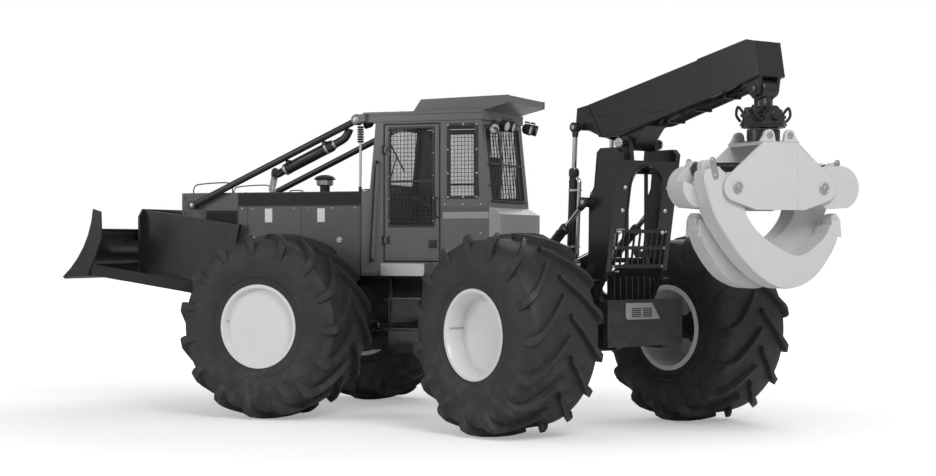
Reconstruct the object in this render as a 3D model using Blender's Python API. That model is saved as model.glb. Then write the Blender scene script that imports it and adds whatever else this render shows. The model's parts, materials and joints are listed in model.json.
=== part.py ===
"""Grapple skidder: a four-wheel articulated log skidder with a front blade and a boom-hung grapple.

Two design frames share one origin, on the ground below the vertical articulation pin. The front
frame has +X forward, +Y left and +Z up; the rear frame is the same, turned about Z by ARTICULATION.
Each body's shapes are drawn in its design frame and hang on an empty that lies on its joint's axis.
"""

import math

import bmesh
import bpy
from mathutils import Matrix, Vector

# Fits, metres
GAP = 0.0005        # between pieces that rest on each other
RUNNING = 0.006     # between a pin and its hole, a rod and its bore
SIDES = 8           # of a small round piece
WHEEL_SIDES = 20

# How the machine stands, degrees
ARTICULATION = -29.2
GRAPPLE_TURN = -17.0

# Wheels and axles
TYRE_RADIUS = 0.965
TYRE_WIDTH = 0.90
RIM_FLANGE_RADIUS = 0.438
RIM_BARREL_RADIUS = 0.400
RIM_WALL = 0.014
RIM_HALF_WIDTH = 0.41
TRACK = 2.555
FRONT_AXLE_X = 1.63
REAR_AXLE_X = -2.20
FRONT_DISC_DEPTH = 0.17   # from the outer flange to the wheel disc
REAR_DISC_DEPTH = 0.30
HUB_RADIUS = 0.20
AXLE_RADIUS = 0.12
AXLE_BOWL_RADIUS = 0.21

# Front frame
RAIL_Y = (0.36, 0.42)
FRAME_TOP = 1.48
BELLY = 0.68
RAIL_START = 0.72
NOSE_X = 2.90
DECK_HALF = 0.56
PIVOT_PIN_RADIUS = 0.05
EAR_THICK = 0.09
EAR_LOW = 0.64
EAR_HIGH = 1.24

# Steering cylinders
STEERING_Z = 0.94
STEERING_LUGS = (STEERING_Z - 0.055, STEERING_Z + 0.035)

# Engine bay
HOOD_X = (0.985, 2.475)
HOOD_TOP = 2.385
STRIPE_LOW = 2.236
PANEL = 0.015
RADIATOR_X = (2.48, 3.19)

# Cab
CAB_HALF = 0.60
CAB_WALL = 0.03
CAB_TOP = 3.12
STEP_TOP = 1.612
DOOR_X = (0.04, 0.70)
DOOR_Z = (1.625, 3.10)
DOOR_CLEARANCE = 0.006
DOOR_HINGE = (0.697, 0.618)
ROOF_TOP = 3.22
CANOPY_TOP = 3.37

# Limb risers
RISER_FOOT = (3.01, 2.25)
RISER_HEAD = (1.003, 3.15)
RISER_Y = 0.60
RISER_RADIUS = 0.036

# Blade, drawn fully raised
BLADE_PIVOT = (2.10, 1.12)
BLADE_HALF = 1.40
ARM_Y = (0.62, 0.68)
BLADE_CYLINDER_Y = 0.52

# Rear frame
REAR_RAIL_Y = (0.28, 0.34)
REAR_TOP = 1.30
REAR_BELLY = 0.80
BUTT_X = (-2.78, -2.72)
BUTT_HALF = 0.50

# Arch, drawn upright
ARCH_PIVOT = (-2.40, 1.34)
ARCH_Y = (0.35, 0.41)
ARCH_CYLINDER_Y = 0.48

# Boom
BOOM_HINGE = (-2.69, 2.79)
BOOM_HALF = 0.17
BOOM_EAR = 0.07
BOOM_CYLINDER_Y = 0.25
BOOM_TIP = (-4.30, 3.21)

# Grapple
SWAY_Z = 2.98
TURN_Z = 2.86
FRAME_PLATE_X = 0.30
PLATE_THICK = 0.03
TONG_PIN = (0.443, 2.318)
TONG_LEVER = (0.66, 2.50)

PLANES = {"X": (1, 2), "Y": (0, 2), "Z": (0, 1)}


# ---------------------------------------------------------------- shapes

def finished(shape):
    bmesh.ops.recalc_face_normals(shape, faces=shape.faces)
    mesh = bpy.data.meshes.new("shape")
    shape.to_mesh(mesh)
    shape.free()
    return mesh


def plate(axis, span, outline):
    """A closed outline in the plane across `axis`, filled between the two ends of `span`."""
    across = "XYZ".index(axis)
    first, second = PLANES[axis]
    shape = bmesh.new()
    corners = []
    for a, b in outline:
        place = Vector()
        place[across], place[first], place[second] = span[0], a, b
        corners.append(shape.verts.new(place))
    face = shape.faces.new(corners)
    grown = bmesh.ops.extrude_face_region(shape, geom=[face])["geom"]
    move = Vector()
    move[across] = span[1] - span[0]
    bmesh.ops.translate(shape, vec=move, verts=[v for v in grown if isinstance(v, bmesh.types.BMVert)])
    return finished(shape)


def block(x, y, z):
    return plate("Z", z, [(x[0], y[0]), (x[1], y[0]), (x[1], y[1]), (x[0], y[1])])


def turned(axis, centre, profile, sides=SIDES, start=0.0):
    """A profile of (radius, place along the axis) turned about the axis; an open one starts and ends on it."""
    across = "XYZ".index(axis)
    first, second = PLANES[axis]
    shape = bmesh.new()
    rings = []
    for radius, along in profile:
        ring = []
        for step in range(sides if radius else 1):
            angle = start + math.tau * step / sides
            place = Vector(centre)
            place[across] += along
            place[first] += radius * math.cos(angle)
            place[second] += radius * math.sin(angle)
            ring.append(shape.verts.new(place))
        rings.append(ring)
    pairs = list(zip(rings, rings[1:]))
    if profile[0][0]:
        pairs.append((rings[-1], rings[0]))
    for low, high in pairs:
        for step in range(sides):
            here, there = step, (step + 1) % sides
            corners = [low[here % len(low)], low[there % len(low)], high[there % len(high)], high[here % len(high)]]
            shape.faces.new(list(dict.fromkeys(corners)))
    return finished(shape)


def aimed(mesh, start, end):
    """A shape drawn along +Z, laid from one point towards another."""
    run = Vector(end) - Vector(start)
    mesh.transform(Matrix.Translation(start) @ run.to_track_quat("Z", "Y").to_matrix().to_4x4())
    return mesh


def bar(start, end, radius, sides=SIDES):
    length = (Vector(end) - Vector(start)).length
    profile = [(0, 0), (radius, 0), (radius, length), (0, length)]
    return aimed(turned("Z", (0, 0, 0), profile, sides), start, end)


def strut(start, end, width, depth):
    """A rectangular bar between two points, `depth` across in the upright direction."""
    length = (Vector(end) - Vector(start)).length
    return aimed(block((-width / 2, width / 2), (-depth / 2, depth / 2), (0, length)), start, end)


def pin(centre, half, radius, axis="Y", sides=SIDES):
    """A round bar that lies across, `half` to each side of its centre."""
    reach = Vector()
    reach["XYZ".index(axis)] = half
    return bar(Vector(centre) - reach, Vector(centre) + reach, radius, sides)


def arc(centre, radius, start, end, steps):
    """Points on a circle between two angles in degrees."""
    points = []
    for step in range(steps + 1):
        angle = math.radians(start + (end - start) * step / steps)
        points.append((centre[0] + radius * math.cos(angle), centre[1] + radius * math.sin(angle)))
    return points


def smooth(points, steps):
    """A Catmull-Rom curve through the points."""
    ends = [points[0]] + list(points) + [points[-1]]
    curve = []
    for a, b, c, d in zip(ends, ends[1:], ends[2:], ends[3:]):
        for step in range(steps):
            t = step / steps
            curve.append(tuple(
                0.5 * (2 * q + (r - p) * t + (2 * p - 5 * q + 4 * r - s) * t * t + (3 * q - p - 3 * r + s) * t**3)
                for p, q, r, s in zip(a, b, c, d)
            ))
    return curve + [points[-1]]


def mirrored(outline):
    """An outline's right half with its mirror image across the first coordinate."""
    return list(outline) + [(-a, b) for a, b in reversed(outline)]


# ---------------------------------------------------------------- objects

def material(name, colour, roughness, metallic=0.0):
    made = bpy.data.materials.new(name)
    made.use_nodes = True
    shader = made.node_tree.nodes["Principled BSDF"]
    shader.inputs["Base Color"].default_value = (*colour, 1.0)
    shader.inputs["Roughness"].default_value = roughness
    shader.inputs["Metallic"].default_value = metallic
    return made


def joint(name, parent, at, turn=0.0, datum=None):
    """An empty on a joint's axis, placed in its parent's design frame; `turn` starts a new frame."""
    empty = bpy.data.objects.new(name, None)
    bpy.context.collection.objects.link(empty)
    empty.parent = parent
    empty.location = Vector(at) - Vector(parent["datum"]) if parent else at
    empty.rotation_euler = (0, 0, math.radians(turn))
    empty["datum"] = tuple(datum or at)
    return empty


def piece(name, parent, finish, solid, join=(), cut=(), add=()):
    """One node: a solid, with the shapes in `join` added, those in `cut` taken away, then those in `add` added."""
    node = bpy.data.objects.new(name, solid)
    bpy.context.collection.objects.link(node)
    node.parent = parent
    node.location = -Vector(parent["datum"])
    solid.materials.append(finish)
    steps = [("UNION", shape) for shape in join] + [("DIFFERENCE", shape) for shape in cut]
    steps += [("UNION", shape) for shape in add]
    for number, (operation, shape) in enumerate(steps):
        helper = bpy.data.objects.new(f"{name}_{operation.lower()}_{number}", shape)
        bpy.context.collection.objects.link(helper)
        helper.parent = node
        helper.hide_render = True
        helper.display_type = "WIRE"
        change = node.modifiers.new(helper.name, "BOOLEAN")
        change.operation = operation
        change.solver = "EXACT"
        change.object = helper
    return node


def cylinder(name, base_parent, base, eye, radius, rod_radius, closed, finishes, barrel_length=None,
             axis="Y", half=0.04):
    """A hydraulic cylinder between two pins: a hollow barrel and a rod that slides in it."""
    base, eye = Vector(base), Vector(eye)
    along = (eye - base).normalized()
    head = radius * 1.1
    barrel_length = barrel_length or closed - head - 0.045
    wall = 0.03
    profile = [(0, 0.03), (radius, 0.03), (radius, barrel_length), (rod_radius + RUNNING, barrel_length),
               (rod_radius + RUNNING, wall + 0.03), (0, wall + 0.03)]
    barrel_joint = joint(name + "_barrel_axis", base_parent, base)
    barrel = aimed(turned("Z", (0, 0, 0), profile), base, eye)
    collar_start = base + along * (barrel_length - 0.07)
    collar = aimed(turned("Z", (0, 0, 0), [
        (rod_radius + RUNNING, 0), (radius + 0.008, 0), (radius + 0.008, 0.055), (rod_radius + RUNNING, 0.055),
    ]), collar_start, collar_start + along)
    piece(name + "_barrel", barrel_joint, finishes[0], barrel, join=[pin(base, half, radius, axis), collar])
    rod_joint = joint(name + "_rod_axis", barrel_joint, eye)
    inner_end = eye - along * (closed - wall - 0.045)
    piece(name + "_rod", rod_joint, finishes[1], bar(inner_end, eye, rod_radius),
          join=[pin(eye, half, head, axis)])
    return barrel_joint


# ---------------------------------------------------------------- front body

def build_front_frame(front, steel):
    notch = AXLE_BOWL_RADIUS + 0.04
    rail = [(RAIL_START, FRAME_TOP), (NOSE_X, FRAME_TOP), (NOSE_X, 1.10), (2.60, 1.0), (FRONT_AXLE_X + notch, 1.0),
            (FRONT_AXLE_X + notch, TYRE_RADIUS + notch), (FRONT_AXLE_X - notch, TYRE_RADIUS + notch),
            (FRONT_AXLE_X - notch, BELLY), (RAIL_START, BELLY)]
    shapes = [plate("Y", (-RAIL_Y[1], -RAIL_Y[0]), rail)]
    cross = RAIL_Y[0] + 0.01
    shapes.append(block((-0.50, RADIATOR_X[1]), (-DECK_HALF, DECK_HALF), (FRAME_TOP - 0.025, FRAME_TOP)))
    shapes.append(block((RAIL_START, RAIL_START + 0.04), (-cross, cross), (BELLY, FRAME_TOP)))
    shapes.append(block((NOSE_X - 0.04, NOSE_X), (-cross, cross), (1.10, FRAME_TOP)))
    shapes.append(block((RAIL_START, FRONT_AXLE_X - notch), (-cross, cross), (BELLY, BELLY + 0.02)))
    shapes.append(block((0.20, RAIL_START + 0.02), (-0.24, 0.24), (EAR_HIGH + EAR_THICK - 0.02, FRAME_TOP - 0.02)))
    for low in (EAR_LOW, EAR_HIGH):
        ear = [(RAIL_START + 0.02, 0.24), *arc((0, 0), 0.15, 75, 285, 10), (RAIL_START + 0.02, -0.24)]
        shapes.append(plate("Z", (low, low + EAR_THICK), ear))
    shapes.append(bar((0, 0, EAR_LOW - 0.02), (0, 0, EAR_HIGH + EAR_THICK + 0.02), PIVOT_PIN_RADIUS, 16))
    for side in (-1, 1):
        stub = (BLADE_PIVOT[0], side * RAIL_Y[0] + side * 0.01, BLADE_PIVOT[1])
        shapes.append(bar(stub, (stub[0], side * (ARM_Y[1] + 0.02), stub[2]), 0.045))
        shapes.append(bar(stub, (stub[0], side * 0.47, stub[2]), 0.09))
        base = steering_base(side)
        for low in STEERING_LUGS:
            shapes.append(block((base[0] - 0.015, base[0] + 0.08), sorted((side * 0.41, side * 0.56)),
                                (low, low + 0.02)))
        base = blade_cylinder_base(side)
        shapes.append(block((base[0] - 0.05, base[0] + 0.05), sorted((side * 0.41, side * 0.455)),
                            (base[2] - 0.05, base[2] + 0.12)))
    piece("front_frame", front, steel, plate("Y", RAIL_Y, rail), join=shapes, cut=[
        block((1.10, 2.38), (-0.345, 0.345), (FRAME_TOP - 0.05, FRAME_TOP + 0.02)),
    ])


def steering_base(side):
    return (0.80, side * 0.50, STEERING_Z)


def steering_eye(side):
    """The eye on the rear frame, in the rear frame."""
    return (-0.28, side * 0.34, STEERING_Z)


def blade_cylinder_base(side):
    return (2.45, side * BLADE_CYLINDER_Y, 0.98)


def build_axle(name, parent, x, disc_depth, steel):
    reach = TRACK / 2 + RIM_HALF_WIDTH - disc_depth - 0.05
    profile = [(0, -reach), (0.17, -reach), (0.17, -reach + 0.06), (AXLE_RADIUS, -reach + 0.12),
               (AXLE_RADIUS, -0.26), (AXLE_BOWL_RADIUS, -0.14), (AXLE_BOWL_RADIUS, 0.14), (AXLE_RADIUS, 0.26),
               (AXLE_RADIUS, reach - 0.12), (0.17, reach - 0.06), (0.17, reach), (0, reach)]
    axle = turned("Y", (x, 0, TYRE_RADIUS), profile, 16)
    return piece(name, parent, steel, axle)


def build_wheel(parent, short, x, side, disc_depth, white, rubber):
    centre = (x, side * TRACK / 2, TYRE_RADIUS)
    axis = joint(f"wheel_{short}_axis", parent, centre)
    flange, barrel, half = RIM_FLANGE_RADIUS, RIM_BARREL_RADIUS, RIM_HALF_WIDTH
    inner = barrel - RIM_WALL
    disc = half - disc_depth
    rim = [(0, disc - 0.02), (inner, disc - 0.02), (inner, -half), (flange, -half), (flange, -half + 0.018),
           (barrel, -half + 0.018), (barrel, half - 0.018), (flange, half - 0.018), (flange, half),
           (inner, half), (inner, disc), (HUB_RADIUS, disc), (HUB_RADIUS - 0.02, disc + 0.07), (0, disc + 0.07)]
    half_step = math.pi / WHEEL_SIDES
    start = math.pi / 2 + half_step
    rim = [(radius, side * along) for radius, along in rim]
    piece(f"rim_{short}", axis, white, turned("Y", centre, rim, WHEEL_SIDES, start))
    crown = TYRE_RADIUS / math.cos(half_step)
    wide = TYRE_WIDTH / 2
    bead = half - 0.023
    outer = [(barrel + GAP, bead), (flange + 0.01, bead + 0.002), (0.60, wide), (0.87, wide), (0.925, wide - 0.02),
             (crown, 0.36)]
    hollow = [(0.915, 0.32), (0.60, wide - 0.04), (barrel + GAP, bead - 0.04)]
    section = outer + [(r, -y) for r, y in reversed(outer)] + [(r, -y) for r, y in reversed(hollow)] + hollow
    piece(f"tyre_{short}", axis, rubber, turned("Y", centre, section, WHEEL_SIDES, start))


def build_engine(front, iron, body_grey, black):
    foot = RAIL_Y[0] - GAP
    piece("engine_block", front, iron, block((1.20, 2.25), (-0.28, 0.28), (1.24, 2.10)), join=[
        block((1.35, 1.47), (-foot, foot), (1.30, 1.36)),
        block((2.00, 2.12), (-foot, foot), (1.30, 1.36)),
        block((1.30, 2.15), (-0.16, 0.16), (2.08, 2.20)),
    ])
    low, high = HOOD_X
    inside = DECK_HALF - PANEL
    piece("hood", front, black, block(HOOD_X, (-DECK_HALF, DECK_HALF), (STRIPE_LOW, HOOD_TOP)), cut=[
        block((low - 0.1, high + 0.1), (-inside, inside), (STRIPE_LOW - 0.1, HOOD_TOP - PANEL)),
    ])
    for name, side in (("left", 1), ("right", -1)):
        span = sorted((side * inside, side * DECK_HALF))
        piece(f"engine_panel_{name}", front, body_grey, block(HOOD_X, span, (FRAME_TOP + GAP, STRIPE_LOW - GAP)))
    build_radiator_housing(front, body_grey, inside)


def build_radiator_housing(front, body_grey, inside):
    low, high = RADIATOR_X
    bars = [block((high - 0.03, high - 0.01), (y - 0.01, y + 0.01), (1.58, HOOD_TOP - 0.05))
            for y in (-0.36, -0.18, 0.0, 0.18, 0.36)]
    core = block((2.70, 2.80), (-inside - 0.005, inside + 0.005), (1.55, 2.34))
    pins = [pin((RISER_FOOT[0], side * (DECK_HALF + 0.005), RISER_FOOT[1]), 0.02, 0.03) for side in (-1, 1)]
    piece("radiator_housing", front, body_grey,
          block((low, high), (-DECK_HALF, DECK_HALF), (FRAME_TOP + GAP, HOOD_TOP)),
          cut=[block((low - 0.1, high - PANEL), (-inside, inside), (FRAME_TOP + 0.02, HOOD_TOP - PANEL)),
               block((high - 0.1, high + 0.1), (-0.48, 0.48), (1.60, HOOD_TOP - 0.08))],
          add=[core, *bars, *pins])


def build_top_gear(front, black):
    """The limb risers, the exhaust below the left one and the air precleaner."""
    for name, side in (("left", 1), ("right", -1)):
        foot = (RISER_FOOT[0], side * (RISER_Y + 0.025), RISER_FOOT[1])
        head = (RISER_HEAD[0], side * RISER_Y, RISER_HEAD[1])
        piece(f"limb_riser_{name}", front, black, bar(foot, head, RISER_RADIUS),
              join=[pin(foot, 0.037, 0.045), pin(head, 0.034, 0.06)])
    drop = 0.115
    slope = (RISER_HEAD[1] - RISER_FOOT[1]) / (RISER_HEAD[0] - RISER_FOOT[0])

    def under_riser(x):
        return (x, 0.53, RISER_FOOT[1] + slope * (x - RISER_FOOT[0]) - drop)

    outlet = Vector(under_riser(1.14)) + Vector((0, 0, 0.06))
    piece("exhaust", front, black, bar(under_riser(1.92), under_riser(1.32), 0.062, 16), join=[
        bar((2.13, 0.43, HOOD_TOP + 0.016), (2.07, 0.46, 2.60), 0.042),
        bar((2.08, 0.455, 2.56), under_riser(1.90), 0.042),
        bar(under_riser(1.34), under_riser(1.20), 0.045),
        bar(under_riser(1.22), outlet, 0.045),
    ])
    cleaner = [(0, HOOD_TOP + GAP), (0.062, HOOD_TOP + GAP), (0.062, 2.47), (0.095, 2.48), (0.095, 2.53),
               (0.122, 2.535), (0.10, 2.57), (0.045, 2.59), (0, 2.59)]
    piece("precleaner", front, black, turned("Z", (1.69, 0, 0), cleaner, 16))


def build_cab(front, grey, pale_grey, dark, glass, silver):
    floor = FRAME_TOP + GAP
    shell = [(0.96, floor), (0.96, 2.38), (0.86, 2.40), (0.79, CAB_TOP), (-0.42, CAB_TOP), (-0.51, 2.22),
             (-0.51, floor)]
    inner = CAB_HALF - CAB_WALL
    room = [(0.93, 1.54), (0.93, 2.35), (0.83, 2.37), (0.75, CAB_TOP + 0.1), (-0.38, CAB_TOP + 0.1),
            (-0.48, 2.22), (-0.48, 1.54)]
    side_window = [(-0.40, 2.32), (-0.06, 2.32), (-0.06, 3.06), (-0.35, 3.06)]
    through = (-CAB_HALF - 0.1, CAB_HALF + 0.1)
    piece("cab_body", front, grey, plate("Y", (-CAB_HALF, CAB_HALF), shell), cut=[
        plate("Y", (-inner, inner), room),
        block(DOOR_X, through, DOOR_Z),
        plate("Y", through, side_window),
        block((0.70, 1.0), (-0.52, 0.52), (2.45, 3.07)),
        block((-0.60, -0.30), (-0.50, 0.50), (2.28, 3.05)),
    ])
    pane = [(0.843, 2.45 + GAP), (0.837, 2.45 + GAP), (0.777, 3.07 - GAP), (0.783, 3.07 - GAP)]
    piece("windshield", front, glass, plate("Y", (-0.52 + GAP, 0.52 - GAP), pane))
    pane = [(-0.492, 2.28 + GAP), (-0.486, 2.28 + GAP), (-0.409, 3.05 - GAP), (-0.415, 3.05 - GAP)]
    piece("rear_window", front, glass, plate("Y", (-0.50 + GAP, 0.50 - GAP), pane))
    face = -0.51 - GAP
    cowl = [(face, floor), (face, 2.20), (-0.64, 2.13), (-0.64, floor)]
    hollow = [(face + 0.1, floor + 0.02), (face + 0.1, 2.17), (face, 2.17), (-0.62, 2.11), (-0.62, floor + 0.02)]
    piece("rear_cowl", front, pale_grey, plate("Y", (-CAB_HALF, CAB_HALF), cowl),
          cut=[plate("Y", (-inner, inner), hollow)])
    canopy = [(0.37, ROOF_TOP - 0.01), (0.28, 3.345), (-0.71, CANOPY_TOP), (-0.71, 3.30), (-0.40, ROOF_TOP - 0.01)]
    brackets = []
    for side in (-1, 1):
        for low, high in ((0.545, 0.562), (0.638, 0.655)):
            lug = [(0.90, 3.13), (0.90, 3.21), *arc(RISER_HEAD, 0.055, 110, -70, 6)]
            brackets.append(plate("Y", sorted((side * low, side * high)), lug))
        brackets.append(block((0.89, 0.92), sorted((side * 0.55, side * 0.655)), (3.13, 3.21)))
    piece("cab_roof", front, grey, block((-0.44, 0.93), (-0.61, 0.61), (CAB_TOP + GAP, ROOF_TOP)),
          join=[plate("Y", (-0.55, 0.55), canopy), *brackets])
    piece("operator_seat", front, dark, block((-0.27, 0.22), (-0.24, 0.24), (1.97, 2.09)), join=[
        plate("Y", (-0.22, 0.22), [(-0.20, 2.05), (-0.30, 2.05), (-0.38, 2.72), (-0.28, 2.74)]),
        block((-0.20, 0.12), (-0.15, 0.15), (1.54 + GAP, 1.99)),
        block((-0.20, 0.15), (-0.33, -0.25), (2.20, 2.25)),
        block((-0.20, 0.15), (0.25, 0.33), (2.20, 2.25)),
        block((-0.19, -0.15), (-0.33, 0.33), (2.06, 2.24)),
    ])
    wheel = turned("Z", (0, 0, 0), [(0.20, -0.012), (0.225, -0.012), (0.225, 0.012), (0.20, 0.012)], 16)
    hub, above = Vector((0.42, 0, 2.22)), Vector((0.34, 0, 2.42))
    piece("steering_column", front, dark, bar((0.62, 0, 1.565), hub, 0.035, 8), join=[
        aimed(wheel, hub, above),
        strut(hub + Vector((0, -0.21, 0)), hub + Vector((0, 0.21, 0)), 0.03, 0.02),
    ])
    for name, side in (("left", 1), ("right", -1)):
        near, far = CAB_HALF + GAP, 0.80
        shapes = [block((0.20, 0.60), sorted((side * 0.62, side * 0.80)), (low, low + 0.02)) for low in (1.22, 0.90)]
        shapes += [block((x, x + 0.02), sorted((side * 0.62, side * 0.66)), (0.90, 1.50)) for x in (0.20, 0.58)]
        piece(f"step_{name}", front, silver,
              block((0.14, 0.64), sorted((side * near, side * far)), (FRAME_TOP, STEP_TOP)), join=shapes)


def build_door(front, name, side, grey):
    hinge = (DOOR_HINGE[0], side * DOOR_HINGE[1], DOOR_Z[0])
    axis = joint(f"door_{name}_axis", front, hinge)
    low, high = DOOR_X[0] + DOOR_CLEARANCE, DOOR_X[1] - DOOR_CLEARANCE
    bottom, top = DOOR_Z[0] + DOOR_CLEARANCE, DOOR_Z[1] - DOOR_CLEARANCE
    face, back = side * CAB_HALF, side * (CAB_HALF - CAB_WALL)
    knuckles = []
    for z in (1.82, 2.78):
        knuckles.append(bar((hinge[0], hinge[1], z), (hinge[0], hinge[1], z + 0.08), 0.011, 8))
        knuckles.append(block((0.66, hinge[0]), sorted((side * (CAB_HALF - 0.01), hinge[1])), (z + 0.01, z + 0.07)))
    piece(f"door_{name}", axis, grey, block((low, high), sorted((back, face)), (bottom, top)), cut=[
        block((0.13, 0.62), (side * CAB_HALF - 0.1, side * CAB_HALF + 0.1), (2.02, 3.04)),
    ], add=knuckles)


# ---------------------------------------------------------------- blade

def build_blade(front, black, chrome):
    axis = joint("blade_lift_axis", front, (BLADE_PIVOT[0], 0, BLADE_PIVOT[1]))
    tip, top = Vector((4.20, 1.456)), Vector((3.81, 2.20))
    middle, chord = (tip + top) / 2, top - tip
    sag = 0.085
    radius = (chord.length**2 / 4 + sag**2) / (2 * sag)
    centre = middle + Vector((chord.y, -chord.x)).normalized() * (radius - sag)
    first = math.degrees(math.atan2(tip.y - centre.y, tip.x - centre.x)) % 360
    last = math.degrees(math.atan2(top.y - centre.y, top.x - centre.x)) % 360
    inside = BLADE_HALF - 0.02
    high = last + (first - last) * 0.25
    board = arc(centre, radius, first, high, 6) + arc(centre, radius + 0.025, high, first, 6)
    cheek = arc(centre, radius, first, last, 6) + [(3.71, 2.17), (3.70, 1.88), (3.88, 1.47)]
    shapes = [plate("Y", sorted((side * inside, side * BLADE_HALF)), cheek) for side in (-1, 1)]
    shapes.append(block((3.86, 3.99), (-inside - 0.005, inside + 0.005), (1.47, 1.60)))
    shapes.append(block((3.70, 3.80), (-inside - 0.005, inside + 0.005), (1.86, 1.95)))
    guard = [(-0.78, 1.44), (-0.78, 2.12), (-0.70, 2.21), (0.70, 2.21), (0.78, 2.12), (0.78, 1.44)]
    shapes.append(plate("X", (3.60, 3.625), guard))
    shapes += [block((3.61, 3.78), (y - 0.015, y + 0.015), (1.64, 1.94)) for y in (-0.25, 0.25)]
    arm = [(3.61, 2.20), (2.40, 2.03), (2.46, 1.74), (2.02, 1.24), *arc(BLADE_PIVOT, 0.10, 150, 290, 6),
           (2.90, 1.26), (3.90, 1.47), (3.90, 1.60), (3.61, 1.62)]
    for side in (-1, 1):
        shapes.append(plate("Y", sorted((side * ARM_Y[0], side * ARM_Y[1])), arm))
        shapes.append(strut((2.78, side * 0.65, 1.30), (3.88, side * 1.33, 1.54), 0.07, 0.12))
        for low, high in ((0.455, 0.475), (0.565, 0.585)):
            shapes.append(block((3.42, 3.62), sorted((side * low, side * high)), (1.45, 1.58)))
    hole = pin((BLADE_PIVOT[0], 0, BLADE_PIVOT[1]), 1.0, 0.045 + RUNNING)
    arches = [plate("X", (3.55, 3.63), [(side * 0.20, 1.70), (side * 0.42, 1.70), (side * 0.42, 1.88),
                                        (side * 0.31, 1.96), (side * 0.20, 1.88)]) for side in (-1, 1)]
    slots = [block((3.55, 3.64), sorted((side * 0.50, side * 0.62)), (2.05, 2.09)) for side in (-1, 1)]
    piece("blade", axis, black, plate("Y", (-inside - 0.005, inside + 0.005), board), join=shapes,
          cut=[hole, *arches, *slots])
    for name, side in (("left", 1), ("right", -1)):
        eye = (3.46, side * BLADE_CYLINDER_Y, 1.50)
        cylinder(f"blade_cylinder_{name}", front, blade_cylinder_base(side), eye, 0.042, 0.024, 0.95,
                 (black, chrome), half=0.03)


# ---------------------------------------------------------------- rear body

def build_rear_frame(rear, steel):
    notch = AXLE_BOWL_RADIUS + 0.04
    start, rear_x = -0.46, BUTT_X[1] - 0.01
    rail = [(start, 1.20), (-1.30, 1.36), (-1.62, 1.40), (-1.95, REAR_TOP), (rear_x, REAR_TOP - 0.06),
            (rear_x, REAR_BELLY), (REAR_AXLE_X - notch, REAR_BELLY), (REAR_AXLE_X - notch, TYRE_RADIUS + notch),
            (REAR_AXLE_X + notch, TYRE_RADIUS + notch), (REAR_AXLE_X + notch, REAR_BELLY), (start, REAR_BELLY)]
    cross = REAR_RAIL_Y[0] + 0.01
    neck_low, neck_high = EAR_LOW + EAR_THICK + 0.01, EAR_HIGH - 0.01
    shapes = [
        plate("Y", (-REAR_RAIL_Y[1], -REAR_RAIL_Y[0]), rail),
        block((start - 0.06, start), (-cross, cross), (REAR_BELLY, 1.20)),
        bar((0, 0, neck_low), (0, 0, neck_high), 0.13, 16),
        block((start - 0.04, -0.06), (-0.12, 0.12), (neck_low + 0.02, neck_high - 0.02)),
        block((REAR_AXLE_X + notch, start), (-cross, cross), (REAR_BELLY, REAR_BELLY + 0.02)),
        block((-1.20, start), (-cross, cross), (1.17, 1.19)),
        block((-1.94, -1.42), (-cross, cross), (1.10, 1.12)),
        block(BUTT_X, (-BUTT_HALF, BUTT_HALF), (0.83, REAR_TOP - 0.02)),
        block((-2.56, -2.46), (-cross, cross), (1.17, 1.23)),
    ]
    for step in range(-3, 4):
        y = 0.08 * step
        shapes.append(block((-2.60, -2.50), (y - 0.006, y + 0.006), (1.20, 1.50)))
    for side in (-1, 1):
        pivot = (ARCH_PIVOT[0], side * cross, ARCH_PIVOT[1])
        shapes.append(bar(pivot, (pivot[0], side * (ARCH_Y[1] + 0.02), pivot[2]), 0.045))
        boss = [(-2.55, 1.20), (-2.25, 1.20), *arc(ARCH_PIVOT, 0.09, -20, 200, 8)]
        shapes.append(plate("Y", sorted((side * REAR_RAIL_Y[0], side * REAR_RAIL_Y[1])), boss))
        base = arch_cylinder_base(side)
        for low, high in ((0.33, 0.43), (0.53, 0.55)):
            lug = [(base[0] - 0.12, 1.22), (base[0] + 0.10, 1.22), *arc((base[0], base[2]), 0.06, 0, 180, 4)]
            shapes.append(plate("Y", sorted((side * low, side * high)), lug))
        shapes.append(block((base[0] - 0.12, base[0] + 0.10), sorted((side * 0.33, side * 0.55)), (1.20, 1.25)))
        for low in STEERING_LUGS:
            lug = [(start - 0.03, side * 0.08), (-0.22, side * 0.20), (-0.22, side * 0.40), (-0.36, side * 0.42),
                   (start - 0.03, side * 0.28)]
            shapes.append(plate("Z", (low, low + 0.02), lug))
    piece("rear_frame", rear, steel, plate("Y", REAR_RAIL_Y, rail), join=shapes, cut=[
        bar((0, 0, 0.5), (0, 0, 1.5), PIVOT_PIN_RADIUS + RUNNING, 16),
    ])


def arch_cylinder_base(side):
    return (-1.50, side * ARCH_CYLINDER_Y, 1.40)


def build_winch(rear, steel):
    centre = (-1.70, 0, 1.34)
    drum = [(0, -0.235), (0.17, -0.235), (0.17, -0.20), (0.10, -0.19), (0.10, 0.19), (0.17, 0.20),
            (0.17, 0.235), (0, 0.235)]
    piece("winch", rear, steel, turned("Y", centre, drum, 16), join=[
        block((-1.90, -1.50), (-0.25, 0.25), (1.12 + GAP, 1.15)),
        *[block((-1.84, -1.56), sorted((side * 0.225, side * 0.25)), (1.14, 1.36)) for side in (-1, 1)],
        block((-1.54, -1.42), (-0.10, 0.10), (1.14, 1.30)),
        block((-1.60, -1.44), (-0.10, 0.10), (1.12 + GAP, 1.16)),
    ])


def leg_rear(z):
    """How far back the arch's rear face stands at a height."""
    return -2.66 - (z - 1.56) / 6


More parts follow.
